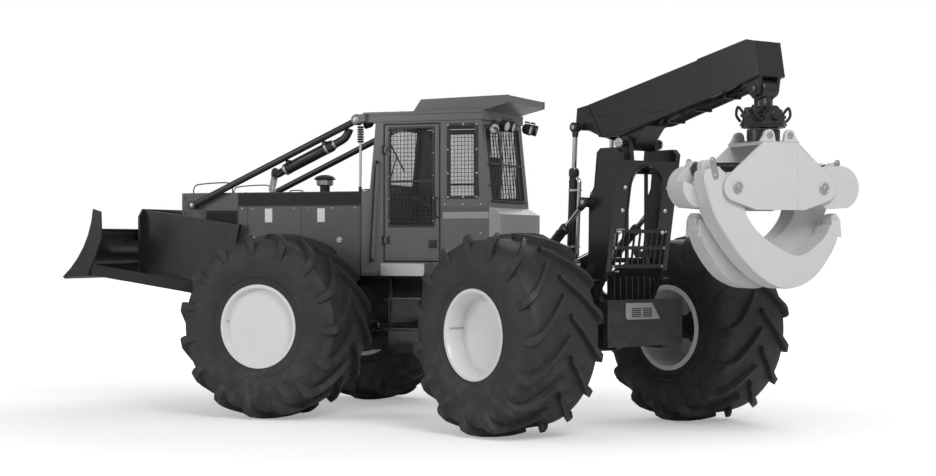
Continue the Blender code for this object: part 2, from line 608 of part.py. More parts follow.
def build_arch(rear, black, chrome):
    axis = joint("arch_lift_axis", rear, (ARCH_PIVOT[0], 0, ARCH_PIVOT[1]))
    leg = [(-1.96, 1.45), (-1.94, 1.54), (-2.00, 1.58), (-2.41, 1.72), (-2.42, 2.24), (-2.49, 2.36),
           (-2.53, 2.70), (-2.58, 2.74), (-2.80, 2.74), (leg_rear(2.69), 2.69), (leg_rear(1.56), 1.56),
           *arc(ARCH_PIVOT, 0.11, 190, 330, 6)]
    shapes = [plate("Y", (-ARCH_Y[1], -ARCH_Y[0]), leg)]
    inside = ARCH_Y[0] + 0.01
    beam = [(-2.58, 2.50), (-2.58, 2.62), (leg_rear(2.62), 2.62), (leg_rear(2.50), 2.50)]
    panel = [(leg_rear(2.60), 2.60), (leg_rear(2.60) + 0.025, 2.60), (leg_rear(1.96) + 0.025, 1.96),
             (leg_rear(1.96), 1.96)]
    shapes += [plate("Y", (-inside, inside), outline) for outline in (beam, panel)]
    shapes.append(pin((-2.10, 0, 1.50), inside, 0.05))
    hinge = (BOOM_HINGE[0], 0, BOOM_HINGE[1])
    for side in (-1, 1):
        ear = [(-2.60, 2.60), *arc(BOOM_HINGE, BOOM_EAR, -10, 190, 8), (-2.78, 2.60)]
        shapes.append(plate("Y", sorted((side * 0.145, side * 0.195)), ear))
        for low, high in ((0.19, 0.205), (0.295, 0.31)):
            base = boom_cylinder_base(side)
            lug = [(-2.13, 1.47), (base[0] - 0.02, 1.45), *arc((base[0], base[2]), 0.05, -70, 110, 5), (-2.13, 1.54)]
            shapes.append(plate("Y", sorted((side * low, side * high)), lug))
        eye = arch_cylinder_eye(side)
        shapes.append(bar((eye[0], side * ARCH_Y[0] + side * 0.01, eye[2]), (eye[0], side * 0.43, eye[2]), 0.05))
    window = [(-0.21, 1.90), (0.21, 1.90), *arc((0, 2.36), 0.21, 0, 180, 8)]
    piece("arch", axis, black, plate("Y", ARCH_Y, leg), join=shapes, cut=[
        plate("X", (leg_rear(2.6) - 0.1, leg_rear(1.9) + 0.08), window),
        pin((ARCH_PIVOT[0], 0, ARCH_PIVOT[1]), 0.6, 0.045 + RUNNING),
        pin(hinge, 0.3, 0.028 + RUNNING),
    ])
    span = ARCH_Y[0] - GAP
    rails = [strut((leg_rear(z) + 0.012, -span, z), (leg_rear(z) + 0.012, span, z), 0.024, 0.035)
             for z in (1.60, 1.78)]
    top = strut((leg_rear(1.94) + 0.012, -span, 1.94), (leg_rear(1.94) + 0.012, span, 1.94), 0.024, 0.035)
    bars = []
    for step in range(-4, 5):
        y = 0.075 * step
        bars.append(strut((leg_rear(1.585) + 0.012, y, 1.585), (leg_rear(1.945) + 0.012, y, 1.945), 0.014, 0.020))
    piece("winch_guard", axis, black, top, join=rails + bars)
    for name, side in (("left", 1), ("right", -1)):
        cylinder(f"arch_cylinder_{name}", rear, arch_cylinder_base(side), arch_cylinder_eye(side), 0.045, 0.026,
                 1.22, (black, chrome), barrel_length=0.90)
    return axis


def arch_cylinder_eye(side):
    return (-2.44, side * ARCH_CYLINDER_Y, 2.22)


def boom_cylinder_base(side):
    return (-1.98, side * BOOM_CYLINDER_Y, 1.50)


def boom_cylinder_eye(side):
    return (-2.05, side * BOOM_CYLINDER_Y, 2.97)


def build_boom(arch, black, chrome):
    axis = joint("boom_lift_axis", arch, (BOOM_HINGE[0], 0, BOOM_HINGE[1]))
    side_view = [(-1.96, 2.95), (-1.985, 3.165), (-2.14, 3.19), (-3.64, 3.52), (-4.26, 3.655), (-4.34, 3.64),
                 (-4.40, 3.33), (-3.80, 3.165), (-2.56, 2.86), (-2.35, 2.86), (-2.16, 2.94)]
    tip_x, tip_z = BOOM_TIP
    bracket = [(-2.52, 2.88), *arc(BOOM_HINGE, 0.07, 330, 210, 5), (-2.95, 2.98)]
    shapes = [
        plate("Y", (-0.13, 0.13), bracket),
        pin((BOOM_HINGE[0], 0, BOOM_HINGE[1]), 0.27, 0.028),
    ]
    for side in (-1, 1):
        lug = [(tip_x + 0.12, 3.35), *arc(BOOM_TIP, 0.065, 350, 190, 6), (tip_x - 0.09, 3.37)]
        shapes.append(plate("Y", sorted((side * 0.10, side * 0.14)), lug))
    sleeve = [(-3.64, 3.528), (-4.255, 3.662), (-4.345, 3.645), (-4.402, 3.327), (-3.80, 3.158)]
    shapes.append(plate("Y", (-BOOM_HALF - 0.008, BOOM_HALF + 0.008), sleeve))
    piece("boom", axis, black, plate("Y", (-BOOM_HALF, BOOM_HALF), side_view), join=shapes,
          cut=[pin((tip_x, 0, tip_z), 0.2, 0.03 + RUNNING)])
    for name, side in (("left", 1), ("right", -1)):
        cylinder(f"boom_cylinder_{name}", arch, boom_cylinder_base(side), boom_cylinder_eye(side), 0.045, 0.024,
                 1.38, (black, chrome), barrel_length=1.07, half=0.038)
    return axis


# ---------------------------------------------------------------- grapple

def build_grapple(boom, black, pale, chrome):
    tip_x, tip_z = BOOM_TIP
    swing = joint("grapple_swing_axis", boom, (tip_x, 0, tip_z))
    piece("crosshead", swing, black, pin((tip_x, 0, tip_z), 0.09, 0.075, sides=16), join=[
        pin((tip_x, 0, tip_z), 0.15, 0.03),
        block((tip_x - 0.05, tip_x + 0.05), (-0.07, 0.07), (SWAY_Z + 0.02, tip_z)),
        pin((tip_x, 0, SWAY_Z), 0.055, 0.07, "X"),
        pin((tip_x, 0, SWAY_Z), 0.14, 0.03, "X"),
    ])
    sway = joint("grapple_sway_axis", swing, (tip_x, 0, SWAY_Z))
    body_top = SWAY_Z - 0.09
    fork = []
    for side in (-1, 1):
        ear = [(-0.16, body_top - 0.02), (0.16, body_top - 0.02), *arc((0, SWAY_Z), 0.08, 20, 160, 6)]
        ends = sorted((tip_x + side * 0.07, tip_x + side * 0.13))
        fork.append(plate("X", ends, ear))
    piece("rotator", sway, black,
          turned("Z", (tip_x, 0, 0), [(0, TURN_Z), (0.15, TURN_Z), (0.19, TURN_Z + 0.02), (0.19, body_top),
                                      (0, body_top)], 16),
          join=[*fork, bar((tip_x, 0.19, TURN_Z + 0.01), (tip_x, 0.19, body_top + 0.10), 0.06)],
          cut=[pin((tip_x, 0, SWAY_Z), 0.2, 0.03 + RUNNING, "X")])
    turn = joint("grapple_turn_axis", sway, (tip_x, 0, TURN_Z), GRAPPLE_TURN, datum=(0, 0, TURN_Z))
    half = FRAME_PLATE_X
    pin_y, pin_z = TONG_PIN
    web = [*arc(TONG_PIN, 0.13, -60, 50, 6), (0.175, 2.72)]
    web = [(0.25, 2.12), *web]
    shapes = [plate("X", (-half, PLATE_THICK - half), mirrored(web))]
    shapes.append(block((-half, half), (-0.19, 0.19), (2.70, 2.725)))
    shapes.append(bar((0, 0, 2.71), (0, 0, TURN_Z - 0.006), 0.14, 16))
    shapes += [bar((-half - 0.015, y, pin_z), (half + 0.015, y, pin_z), 0.04) for y in (-pin_y, pin_y)]
    piece("grapple_frame", turn, pale, plate("X", (half - PLATE_THICK, half), mirrored(web)), join=shapes)
    tongs = {}
    for name, side in (("left", 1), ("right", -1)):
        tongs[name] = joint(f"tong_{name}_axis", turn, (0, side * pin_y, pin_z))
        build_tong(tongs[name], name, side, pale)
    lever_y, lever_z = TONG_LEVER
    cylinder("tong_cylinder", tongs["left"], (0, lever_y, lever_z), (0, -lever_y, lever_z), 0.05, 0.028, 0.765,
             (black, chrome), axis="X", half=0.055)


def build_tong(axis, name, side, pale):
    """One curved jaw. The two are alike, turned half round, so that their arms pass side by side."""
    outer = smooth([(0.60, 2.50), (0.75, 2.44), (0.70, 2.20), (0.593, 1.973), (0.309, 1.622), (-0.03, 1.42),
                    (-0.344, 1.501), (-0.56, 1.75), (-0.654, 1.986)], 2)
    inner = smooth([(-0.538, 1.986), (-0.485, 1.881), (-0.309, 1.744), (-0.149, 1.722), (0.134, 1.866),
                    (0.309, 2.048), (0.36, 2.24)], 2)
    shoulder = [(0.42, 2.20), (0.62, 2.07), (0.79, 2.12), (0.85, 2.26), (0.83, 2.40), (0.74, 2.54), (0.62, 2.56),
                (0.42, 2.44)]
    lever = [(0.40, 2.40), (0.50, 2.22), (0.72, 2.45), *arc(TONG_LEVER, 0.06, 0, 130, 4)]

    def facing(outline):
        return [(side * y, z) for y, z in outline]

    edge = FRAME_PLATE_X - PLATE_THICK - 0.012
    pin_y, pin_z = TONG_PIN
    piece(f"tong_{name}", axis, pale, plate("X", sorted((-side * edge, -side * 0.02)), facing(outer + inner)), join=[
        plate("X", sorted((side * edge, -side * 0.05)), facing(shoulder)),
        plate("X", (-0.16, 0.16), facing(lever)),
        bar((-edge - 0.004, side * pin_y, pin_z), (edge + 0.004, side * pin_y, pin_z), 0.14, 16),
    ], cut=[
        bar((-0.4, side * pin_y, pin_z), (0.4, side * pin_y, pin_z), 0.04 + RUNNING),
        block((-0.065, 0.065), sorted((side * 0.20, side * 0.95)), (2.415, 2.70)),
    ])


# ---------------------------------------------------------------- the machine

def to_ground_centre(machine):
    """Moves the machine so that the origin is at the middle of its footprint, on the ground."""
    bpy.context.view_layer.update()
    graph = bpy.context.evaluated_depsgraph_get()
    corners = []
    for node in bpy.context.scene.objects:
        if node.type == "MESH" and not node.hide_render:
            solid = node.evaluated_get(graph)
            corners += [solid.matrix_world @ vertex.co for vertex in solid.data.vertices]
    for axis in (0, 1):
        places = [corner[axis] for corner in corners]
        machine.location[axis] = -(min(places) + max(places)) / 2
    machine.location[2] = -min(corner[2] for corner in corners)
    bpy.context.view_layer.update()


def main():
    for old in list(bpy.data.objects):
        bpy.data.objects.remove(old)
    body_grey = material("body_grey", (0.09, 0.09, 0.09), 0.4)
    cab_grey = material("cab_grey", (0.12, 0.12, 0.12), 0.4)
    pale_grey = material("pale_grey", (0.55, 0.55, 0.55), 0.45)
    black = material("black", (0.02, 0.02, 0.02), 0.4)
    white = material("rim_white", (0.8, 0.8, 0.8), 0.35)
    rubber = material("rubber", (0.03, 0.03, 0.03), 0.85)
    iron = material("iron", (0.06, 0.06, 0.06), 0.6)
    chrome = material("chrome", (0.8, 0.8, 0.8), 0.12, 1.0)
    silver = material("silver", (0.6, 0.6, 0.6), 0.35, 0.8)
    glass = material("glass", (0.2, 0.2, 0.2), 0.05)
    seat = material("seat", (0.03, 0.03, 0.03), 0.8)

    machine = joint("machine", None, (0, 0, 0))
    front = joint("front_body", machine, (0, 0, 0))
    build_front_frame(front, black)
    build_axle("front_axle", front, FRONT_AXLE_X, FRONT_DISC_DEPTH, black)
    build_engine(front, iron, body_grey, black)
    build_top_gear(front, black)
    build_cab(front, cab_grey, pale_grey, seat, glass, silver)
    for name, side in (("left", 1), ("right", -1)):
        build_door(front, name, side, cab_grey)
    build_blade(front, black, chrome)

    rear = joint("steer_axis", front, (0, 0, 0), ARTICULATION)
    build_rear_frame(rear, black)
    build_axle("rear_axle", rear, REAR_AXLE_X, REAR_DISC_DEPTH, black)
    build_winch(rear, iron)
    arch = build_arch(rear, black, chrome)
    boom = build_boom(arch, black, chrome)
    build_grapple(boom, black, pale_grey, chrome)

    for short, parent, x, side, depth in (
        ("fl", front, FRONT_AXLE_X, 1, FRONT_DISC_DEPTH), ("fr", front, FRONT_AXLE_X, -1, FRONT_DISC_DEPTH),
        ("rl", rear, REAR_AXLE_X, 1, REAR_DISC_DEPTH), ("rr", rear, REAR_AXLE_X, -1, REAR_DISC_DEPTH),
    ):
        build_wheel(parent, short, x, side, depth, white, rubber)

    turned_eye = Matrix.Rotation(math.radians(ARTICULATION), 3, "Z")
    for name, side in (("left", 1), ("right", -1)):
        eye = turned_eye @ Vector(steering_eye(side))
        cylinder(f"steering_cylinder_{name}", front, steering_base(side), eye, 0.04, 0.022, 0.76,
                 (black, chrome), axis="Z", half=0.03)
    to_ground_centre(machine)


main()
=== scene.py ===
"""Looks for the grapple skidder: finer wheels, cylinders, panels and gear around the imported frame.

Shapes are drawn in three design frames, in metres: FRONT (+X forward, +Y left, origin on the ground
under the articulation pin), REAR (the same, turned with the rear half) and GRAB (turned with the
grapple, origin on the ground under its turning axis).
"""

import json
import math

import bmesh
import bpy
from mathutils import Matrix, Vector

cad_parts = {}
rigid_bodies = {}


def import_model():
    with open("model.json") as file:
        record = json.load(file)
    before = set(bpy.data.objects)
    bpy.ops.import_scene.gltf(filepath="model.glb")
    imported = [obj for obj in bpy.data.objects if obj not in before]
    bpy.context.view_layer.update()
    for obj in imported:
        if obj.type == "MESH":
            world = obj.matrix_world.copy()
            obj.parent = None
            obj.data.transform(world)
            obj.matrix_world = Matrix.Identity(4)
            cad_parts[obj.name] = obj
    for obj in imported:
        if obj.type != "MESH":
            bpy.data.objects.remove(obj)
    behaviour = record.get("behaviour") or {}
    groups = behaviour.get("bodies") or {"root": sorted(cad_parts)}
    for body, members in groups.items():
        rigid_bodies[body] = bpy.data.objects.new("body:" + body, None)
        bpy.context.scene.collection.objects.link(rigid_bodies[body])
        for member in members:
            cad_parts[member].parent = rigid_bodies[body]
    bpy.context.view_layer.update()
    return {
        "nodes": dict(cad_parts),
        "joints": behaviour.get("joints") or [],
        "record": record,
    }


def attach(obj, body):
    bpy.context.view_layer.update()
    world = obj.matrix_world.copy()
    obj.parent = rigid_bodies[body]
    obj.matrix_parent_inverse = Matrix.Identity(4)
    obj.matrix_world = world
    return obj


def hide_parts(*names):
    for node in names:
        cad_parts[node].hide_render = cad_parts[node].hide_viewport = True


for old in list(bpy.data.objects):
    bpy.data.objects.remove(old)
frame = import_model()
NODES = frame["nodes"]
JOINTS = {joint["name"]: joint for joint in frame["joints"]}


def turned_frame(at, x_axis):
    heading = math.atan2(x_axis[1], x_axis[0])
    return Matrix.Translation((at[0], at[1], 0)) @ Matrix.Rotation(heading, 4, "Z")


PIVOT = JOINTS["steer"]["pos_m"]
SWAY_AXIS = JOINTS["grapple_sway"]["axis"]
FRONT = turned_frame(PIVOT, (1, 0))
REAR = turned_frame(PIVOT, SWAY_AXIS)
GRAB = turned_frame(JOINTS["grapple_turn"]["pos_m"], JOINTS["tong_left_open"]["axis"])
WORLD = Matrix.Identity(4)


# ---------------------------------------------------------------- materials

class Nodes:
    """Short calls for building one material's nodes."""

    def __init__(self, name):
        self.made = bpy.data.materials.new(name)
        self.made.use_nodes = True
        self.tree = self.made.node_tree
        self.shader = self.tree.nodes["Principled BSDF"]
        self.place = self.tree.nodes.new("ShaderNodeTexCoord").outputs["Object"]

    def put(self, kind, **values):
        node = self.tree.nodes.new(kind)
        for key, value in values.items():
            if hasattr(node, key):
                setattr(node, key, value)
            else:
                node.inputs[key.replace("_", " ").title()].default_value = value
        return node

    def join(self, output, target):
        self.tree.links.new(output, target)

    def noise(self, scale, detail=4.0, stretch=(1, 1, 1)):
        place = self.place
        if stretch != (1, 1, 1):
            moved = self.put("ShaderNodeMapping", Scale=stretch)
            self.join(place, moved.inputs["Vector"])
            place = moved.outputs["Vector"]
        node = self.put("ShaderNodeTexNoise", Scale=scale, Detail=detail)
        self.join(place, node.inputs["Vector"])
        return node.outputs["Fac"]

    def ranged(self, output, low, high, to_low, to_high):
        node = self.put("ShaderNodeMapRange")
        for socket, value in zip(node.inputs[1:5], (low, high, to_low, to_high)):
            socket.default_value = value
        self.join(output, node.inputs["Value"])
        return node.outputs["Result"]

    def math(self, operation, first, second):
        node = self.put("ShaderNodeMath", operation=operation)
        for socket, value in zip(node.inputs, (first, second)):
            if isinstance(value, (int, float)):
                socket.default_value = value
            else:
                self.join(value, socket)
        return node.outputs["Value"]

    def mixed(self, share, first, second):
        node = self.put("ShaderNodeMix", data_type="RGBA")
        for name, value in (("Factor_Float", share), ("A_Color", first), ("B_Color", second)):
            socket = next(s for s in node.inputs if s.identifier == name)
            if isinstance(value, tuple):
                socket.default_value = (*value, 1.0)
            elif isinstance(value, (int, float)):
                socket.default_value = value
            else:
                self.join(value, socket)
        return next(s for s in node.outputs if s.identifier == "Result_Color")


def grey(level, warm=0.0):
    return (level * (1 + warm), level, level * (1 - warm))


def coated(name, level, roughness, metallic=0.0, spread=0.12, grain=60.0, bump=0.02, dust=0.10,
           dust_level=0.30, wear_and_highlight=0.0, wear_and_highlight_level=0.4, streak=False, round_edges=0.004, coat=0.0):
    """Paint or bare metal: slow variation, fine bump, dust low down and on top, and edges recoloured partly
    as wear, partly as painted edge highlight.
    """
    n = Nodes(name)
    slow = n.ranged(n.noise(2.2, 5.0), 0.3, 0.7, 1 - spread, 1 + spread)
    stretch = (1, 1, 0.12) if streak else (1, 1, 1)
    fine = n.noise(grain, 6.0, stretch)
    base = n.mixed(n.ranged(fine, 0.35, 0.65, 0.0, 0.35), grey(level), grey(level * 0.86))
    toned = n.mixed(n.ranged(n.noise(2.2, 5.0), 0.3, 0.7, 0.0, spread * 2), base, grey(level * 1.25))
    normal = n.put("ShaderNodeNewGeometry")
    split = n.put("ShaderNodeSeparateXYZ")
    n.join(normal.outputs["Normal"], split.inputs["Vector"])
    height = n.put("ShaderNodeSeparateXYZ")
    n.join(n.place, height.inputs["Vector"])
    up = n.ranged(split.outputs["Z"], 0.2, 1.0, 0.0, 0.6)
    low = n.ranged(height.outputs["Z"], 0.2, 1.7, 1.0, 0.0)
    patch = n.ranged(n.noise(7.0, 8.0), 0.42, 0.68, 0.0, 1.0)
    share = n.math("MULTIPLY", n.math("MULTIPLY", n.math("MAXIMUM", up, low), patch), dust)
    colour = n.mixed(share, toned, grey(dust_level))
    # Edge mask: edges shift toward wear_and_highlight_level, partly as rubbed wear and partly as a painted
    # highlight along the edges.
    if wear_and_highlight:
        rounded = n.put("ShaderNodeBevel", samples=4, Radius=0.006)
        apart = n.put("ShaderNodeVectorMath", operation="DOT_PRODUCT")
        n.join(rounded.outputs["Normal"], apart.inputs[0])
        n.join(normal.outputs["Normal"], apart.inputs[1])
        edge = n.ranged(apart.outputs["Value"], 0.97, 0.80, 0.0, 1.0)
        rubbed_and_highlight = n.math("MULTIPLY",
                        n.math("MULTIPLY", edge, n.ranged(n.noise(14.0, 6.0), 0.45, 0.6, 0.0, 1.0)), wear_and_highlight)
        colour = n.mixed(rubbed_and_highlight, colour, grey(wear_and_highlight_level))
    n.join(colour, n.shader.inputs["Base Color"])
    rough = n.math("MULTIPLY", n.ranged(fine, 0.3, 0.7, roughness * 0.8, roughness * 1.25), slow)
    n.join(n.math("MAXIMUM", rough, n.math("MULTIPLY", share, 0.9)), n.shader.inputs["Roughness"])
    relief = n.put("ShaderNodeBump", Strength=1.0, Distance=bump * 0.01)
    n.join(fine, relief.inputs["Height"])
    if round_edges:
        soft = n.put("ShaderNodeBevel", samples=4, Radius=round_edges)
        n.join(soft.outputs["Normal"], relief.inputs["Normal"])
    n.join(relief.outputs["Normal"], n.shader.inputs["Normal"])
    n.shader.inputs["Metallic"].default_value = metallic
    n.shader.inputs["Coat Weight"].default_value = coat
    n.shader.inputs["Coat Roughness"].default_value = 0.15
    return n.made


def rubbery(name, level, bump=0.06):
    n = Nodes(name)
    fine = n.noise(90.0, 6.0)
    height = n.put("ShaderNodeSeparateXYZ")
    n.join(n.place, height.inputs["Vector"])
    low = n.ranged(height.outputs["Z"], 0.0, 0.9, 1.0, 0.15)
    patch = n.math("MULTIPLY", n.ranged(n.noise(9.0, 8.0), 0.45, 0.7, 0.0, 0.35), low)
    base = n.mixed(n.ranged(n.noise(5.0, 4.0), 0.3, 0.7, 0.0, 1.0), grey(level), grey(level * 1.45))
    n.join(n.mixed(patch, base, grey(0.16)), n.shader.inputs["Base Color"])
    n.join(n.ranged(fine, 0.3, 0.7, 0.48, 0.72), n.shader.inputs["Roughness"])
    relief = n.put("ShaderNodeBump", Strength=1.0, Distance=bump * 0.01)
    n.join(fine, relief.inputs["Height"])
    n.join(relief.outputs["Normal"], n.shader.inputs["Normal"])
    return n.made


def clear_glass(name, level, alpha):
    n = Nodes(name)
    smear = n.noise(3.0, 6.0)
    n.join(n.mixed(n.ranged(smear, 0.3, 0.7, 0.0, 1.0), grey(level), grey(level * 1.6)),
           n.shader.inputs["Base Color"])
    n.join(n.ranged(smear, 0.3, 0.7, 0.03, 0.12), n.shader.inputs["Roughness"])
    n.shader.inputs["Alpha"].default_value = alpha
    n.shader.inputs["IOR"].default_value = 1.5
    n.shader.inputs["Specular IOR Level"].default_value = 0.8
    return n.made


def woven(name, level):
    n = Nodes(name)
    weave = n.put("ShaderNodeTexWave", wave_type="BANDS", bands_direction="DIAGONAL", Scale=120.0,
                  Distortion=1.5)
    n.join(n.place, weave.inputs["Vector"])
    n.join(n.mixed(weave.outputs["Fac"], grey(level), grey(level * 1.8)), n.shader.inputs["Base Color"])
    n.join(n.ranged(n.noise(40.0), 0.3, 0.7, 0.75, 0.95), n.shader.inputs["Roughness"])
    relief = n.put("ShaderNodeBump", Strength=0.6, Distance=0.001)
    n.join(weave.outputs["Fac"], relief.inputs["Height"])
    n.join(relief.outputs["Normal"], n.shader.inputs["Normal"])
    return n.made


BODY = coated("body_paint", 0.085, 0.34, grain=180, bump=0.01, dust=0.10, wear_and_highlight=0.25, wear_and_highlight_level=0.22,
              coat=0.25)
CAB = coated("cab_paint", 0.115, 0.34, grain=180, bump=0.01, dust=0.10, wear_and_highlight=0.25, wear_and_highlight_level=0.28, coat=0.25)
COWL = coated("cowl_paint", 0.30, 0.36, grain=180, bump=0.01, dust=0.10, wear_and_highlight=0.2, wear_and_highlight_level=0.5, coat=0.2)
BLACK = coated("black_paint", 0.016, 0.30, grain=140, bump=0.012, dust=0.10, dust_level=0.12, wear_and_highlight=0.35,
               wear_and_highlight_level=0.16, coat=0.2)
CHASSIS = coated("chassis_paint", 0.024, 0.42, grain=90, bump=0.03, dust=0.30, dust_level=0.14, wear_and_highlight=0.3,
                 wear_and_highlight_level=0.18)
PALE = coated("grapple_paint", 0.62, 0.42, spread=0.05, grain=120, bump=0.02, dust=0.12, dust_level=0.36,
              wear_and_highlight=0.35, wear_and_highlight_level=0.30)
RIM = coated("rim_paint", 0.80, 0.32, spread=0.04, grain=150, bump=0.008, dust=0.10, dust_level=0.45,
             coat=0.3)
IRON = coated("cast_iron", 0.05, 0.62, metallic=0.3, grain=70, bump=0.12, dust=0.35, dust_level=0.15)
CHROME = coated("rod_chrome", 0.78, 0.12, metallic=1.0, spread=0.02, grain=200, bump=0.002, dust=0.0,
                round_edges=0.0)
STEEL = coated("bright_steel", 0.55, 0.34, metallic=0.9, grain=160, bump=0.02, dust=0.15, streak=True)
SILVER = coated("zinc_plate", 0.60, 0.30, metallic=0.7, grain=150, bump=0.01, dust=0.10)
PLASTIC = coated("black_plastic", 0.02, 0.48, grain=220, bump=0.02, dust=0.15, dust_level=0.14)
HOSE = rubbery("hose_rubber", 0.012, 0.03)
DARK = coated("stripe_black", 0.003, 0.55, spread=0.02, grain=150, bump=0.004, dust=0.02)
TYRE = rubbery("tyre_rubber", 0.020)
LABEL = coated("label_plate", 0.80, 0.30, spread=0.02, grain=60, bump=0.004, dust=0.04)
LENS = coated("lamp_lens", 0.55, 0.08, spread=0.05, grain=40, bump=0.05, dust=0.05, coat=0.8)
MESH_STEEL = coated("mesh_steel", 0.020, 0.45, grain=120, bump=0.02, dust=0.20, dust_level=0.14)
GLASS = clear_glass("cab_glass", 0.05, 0.22)
FABRIC = woven("seat_fabric", 0.018)

BY_SLOT = {"body_paint": BODY, "cab_paint": CAB, "pale_paint": PALE, "black_paint": BLACK,
           "chassis_paint": CHASSIS, "rim_paint": RIM, "iron": IRON, "chrome": CHROME, "step_metal": STEEL,
           "tyre": TYRE, "glass": GLASS, "seat": FABRIC}
# The step_left and step_right nodes take the dark chassis paint instead of step metal, as painted shade
# between the wheels.
OF_NODE = {"rear_cowl": COWL, "step_left": CHASSIS, "step_right": CHASSIS}
for entry in frame["record"]["subparts"]:
    node = NODES[entry["node"]]
    node.data.materials.clear()
    node.data.materials.append(OF_NODE.get(entry["node"], BY_SLOT[entry["material_slot"]]))


# ---------------------------------------------------------------- shapes

PLANES = {"X": (1, 2), "Y": (0, 2), "Z": (0, 1)}


class Piece:
    """One visible piece: shapes drawn in a design frame, joined into one mesh that rides on a body."""

    def __init__(self, name, body, place=FRONT):
        self.name, self.body, self.place = name, body, place
        self.shape = bmesh.new()

    def grow(self, rings, closed_ring=True, caps=True):
        rows = [[self.shape.verts.new(point) for point in ring] for ring in rings]
        for low, high in zip(rows, rows[1:]):
            count = len(low)
            for step in range(count if closed_ring else count - 1):
                here, there = step, (step + 1) % count
                self.shape.faces.new((low[here], low[there], high[there], high[here]))
        if caps:
            self.shape.faces.new(rows[0][::-1])
            self.shape.faces.new(rows[-1])
        return self

    def block(self, x, y, z):
        low = [(x[0], y[0], z[0]), (x[1], y[0], z[0]), (x[1], y[1], z[0]), (x[0], y[1], z[0])]
        return self.grow([low, [(a, b, z[1]) for a, b, _ in low]])

    def plate(self, axis, span, outline):
        across = "XYZ".index(axis)
        first, second = PLANES[axis]
        rings = []
        for along in span:
            ring = []
            for a, b in outline:
                point = [0.0, 0.0, 0.0]
                point[across], point[first], point[second] = along, a, b
                ring.append(point)
            rings.append(ring)
        return self.grow(rings)

    def lathe(self, start, end, profile, sides=32, open_ring=False):
        """A profile of (radius, distance from start) turned about the line from start to end."""
        start, end = Vector(start), Vector(end)
        turn = (end - start).to_track_quat("Z", "Y").to_matrix()
        rings = []
        for radius, along in profile:
            rings.append([start + turn @ Vector((radius * math.cos(math.tau * s / sides),
                                                 radius * math.sin(math.tau * s / sides), along))
                          for s in range(sides)])
        if open_ring:
            rings.append(rings[0])
            rows = [[self.shape.verts.new(p) for p in ring] for ring in rings[:-1]]
            rows.append(rows[0])
            for low, high in zip(rows, rows[1:]):
                for s in range(sides):
                    t = (s + 1) % sides
                    self.shape.faces.new((low[s], low[t], high[t], high[s]))
            return self
        return self.grow(rings)

    def rod(self, start, end, radius, sides=20):
        length = (Vector(end) - Vector(start)).length
        return self.lathe(start, end, [(radius, 0), (radius, length)], sides)

    def bolt(self, at, outward, radius=0.014, height=0.012):
        """A washer and a six-sided head."""
        at, outward = Vector(at), Vector(outward).normalized()
        self.lathe(at, at + outward, [(radius * 1.35, 0), (radius * 1.35, height * 0.25)], 16)
        return self.lathe(at, at + outward,
                          [(radius, height * 0.2), (radius, height * 0.85), (radius * 0.8, height)], 6)

    def tube(self, points, radius, sides=10, steps=6):
        """A round bar along a smooth curve through the points."""
        line = smooth(points, steps)
        rings, side = [], None
        for step, point in enumerate(line):
            before, after = line[max(step - 1, 0)], line[min(step + 1, len(line) - 1)]
            run = (after - before).normalized()
            if side is None:
                side = run.orthogonal().normalized()
            side = (side - run * side.dot(run)).normalized()
            other = run.cross(side)
            turned = [math.tau * s / sides for s in range(sides)]
            rings.append([point + radius * (side * math.cos(turn) + other * math.sin(turn))
                          for turn in turned])
        return self.grow(rings)

    def bars(self, points, width, depth, up=(0, 0, 1)):
        """A flat bar bent along straight runs."""
        line = [Vector(p) for p in points]
        rings = []
        for step, point in enumerate(line):
            before, after = line[max(step - 1, 0)], line[min(step + 1, len(line) - 1)]
            run = (after - before).normalized()
            side = run.cross(Vector(up)).normalized()
            top = side.cross(run).normalized()
            rings.append([point + side * a * width / 2 + top * b * depth / 2 for a, b in
                          ((-1, -1), (1, -1), (1, 1), (-1, 1))])
        return self.grow(rings)

    def made(self, material, bevel=0.003, replaces=(), segments=2, angle=35.0):
        bmesh.ops.recalc_face_normals(self.shape, faces=self.shape.faces)
        mesh = bpy.data.meshes.new(self.name)
        self.shape.to_mesh(mesh)
        self.shape.free()
        mesh.transform(self.place)
        mesh.shade_smooth()
        mesh.set_sharp_from_angle(angle=math.radians(angle))
        mesh.materials.append(material)
        piece = bpy.data.objects.new(self.name, mesh)
        bpy.context.scene.collection.objects.link(piece)
        if bevel:
            rounding = piece.modifiers.new("rounding", "BEVEL")
            rounding.width, rounding.segments = bevel, segments
            rounding.limit_method, rounding.angle_limit = "ANGLE", math.radians(30)
            rounding.use_clamp_overlap = True
            rounding.harden_normals = True
        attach(piece, self.body)
        if replaces:
            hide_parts(*replaces)
        return piece


def smooth(points, steps):
    line = [Vector(p) for p in points]
    if len(line) < 3:
        return line
    ends = [line[0]] + line + [line[-1]]
    curve = []
    for a, b, c, d in zip(ends, ends[1:], ends[2:], ends[3:]):
        for step in range(steps):
            t = step / steps
            curve.append(0.5 * (2 * b + (c - a) * t + (2 * a - 5 * b + 4 * c - d) * t * t
                                + (3 * b - a - 3 * c + d) * t ** 3))
    return curve + [line[-1]]


def arc(centre, radius, start, end, steps):
    return [(centre[0] + radius * math.cos(math.radians(start + (end - start) * s / steps)),
             centre[1] + radius * math.sin(math.radians(start + (end - start) * s / steps)))
            for s in range(steps + 1)]


# ---------------------------------------------------------------- wheels

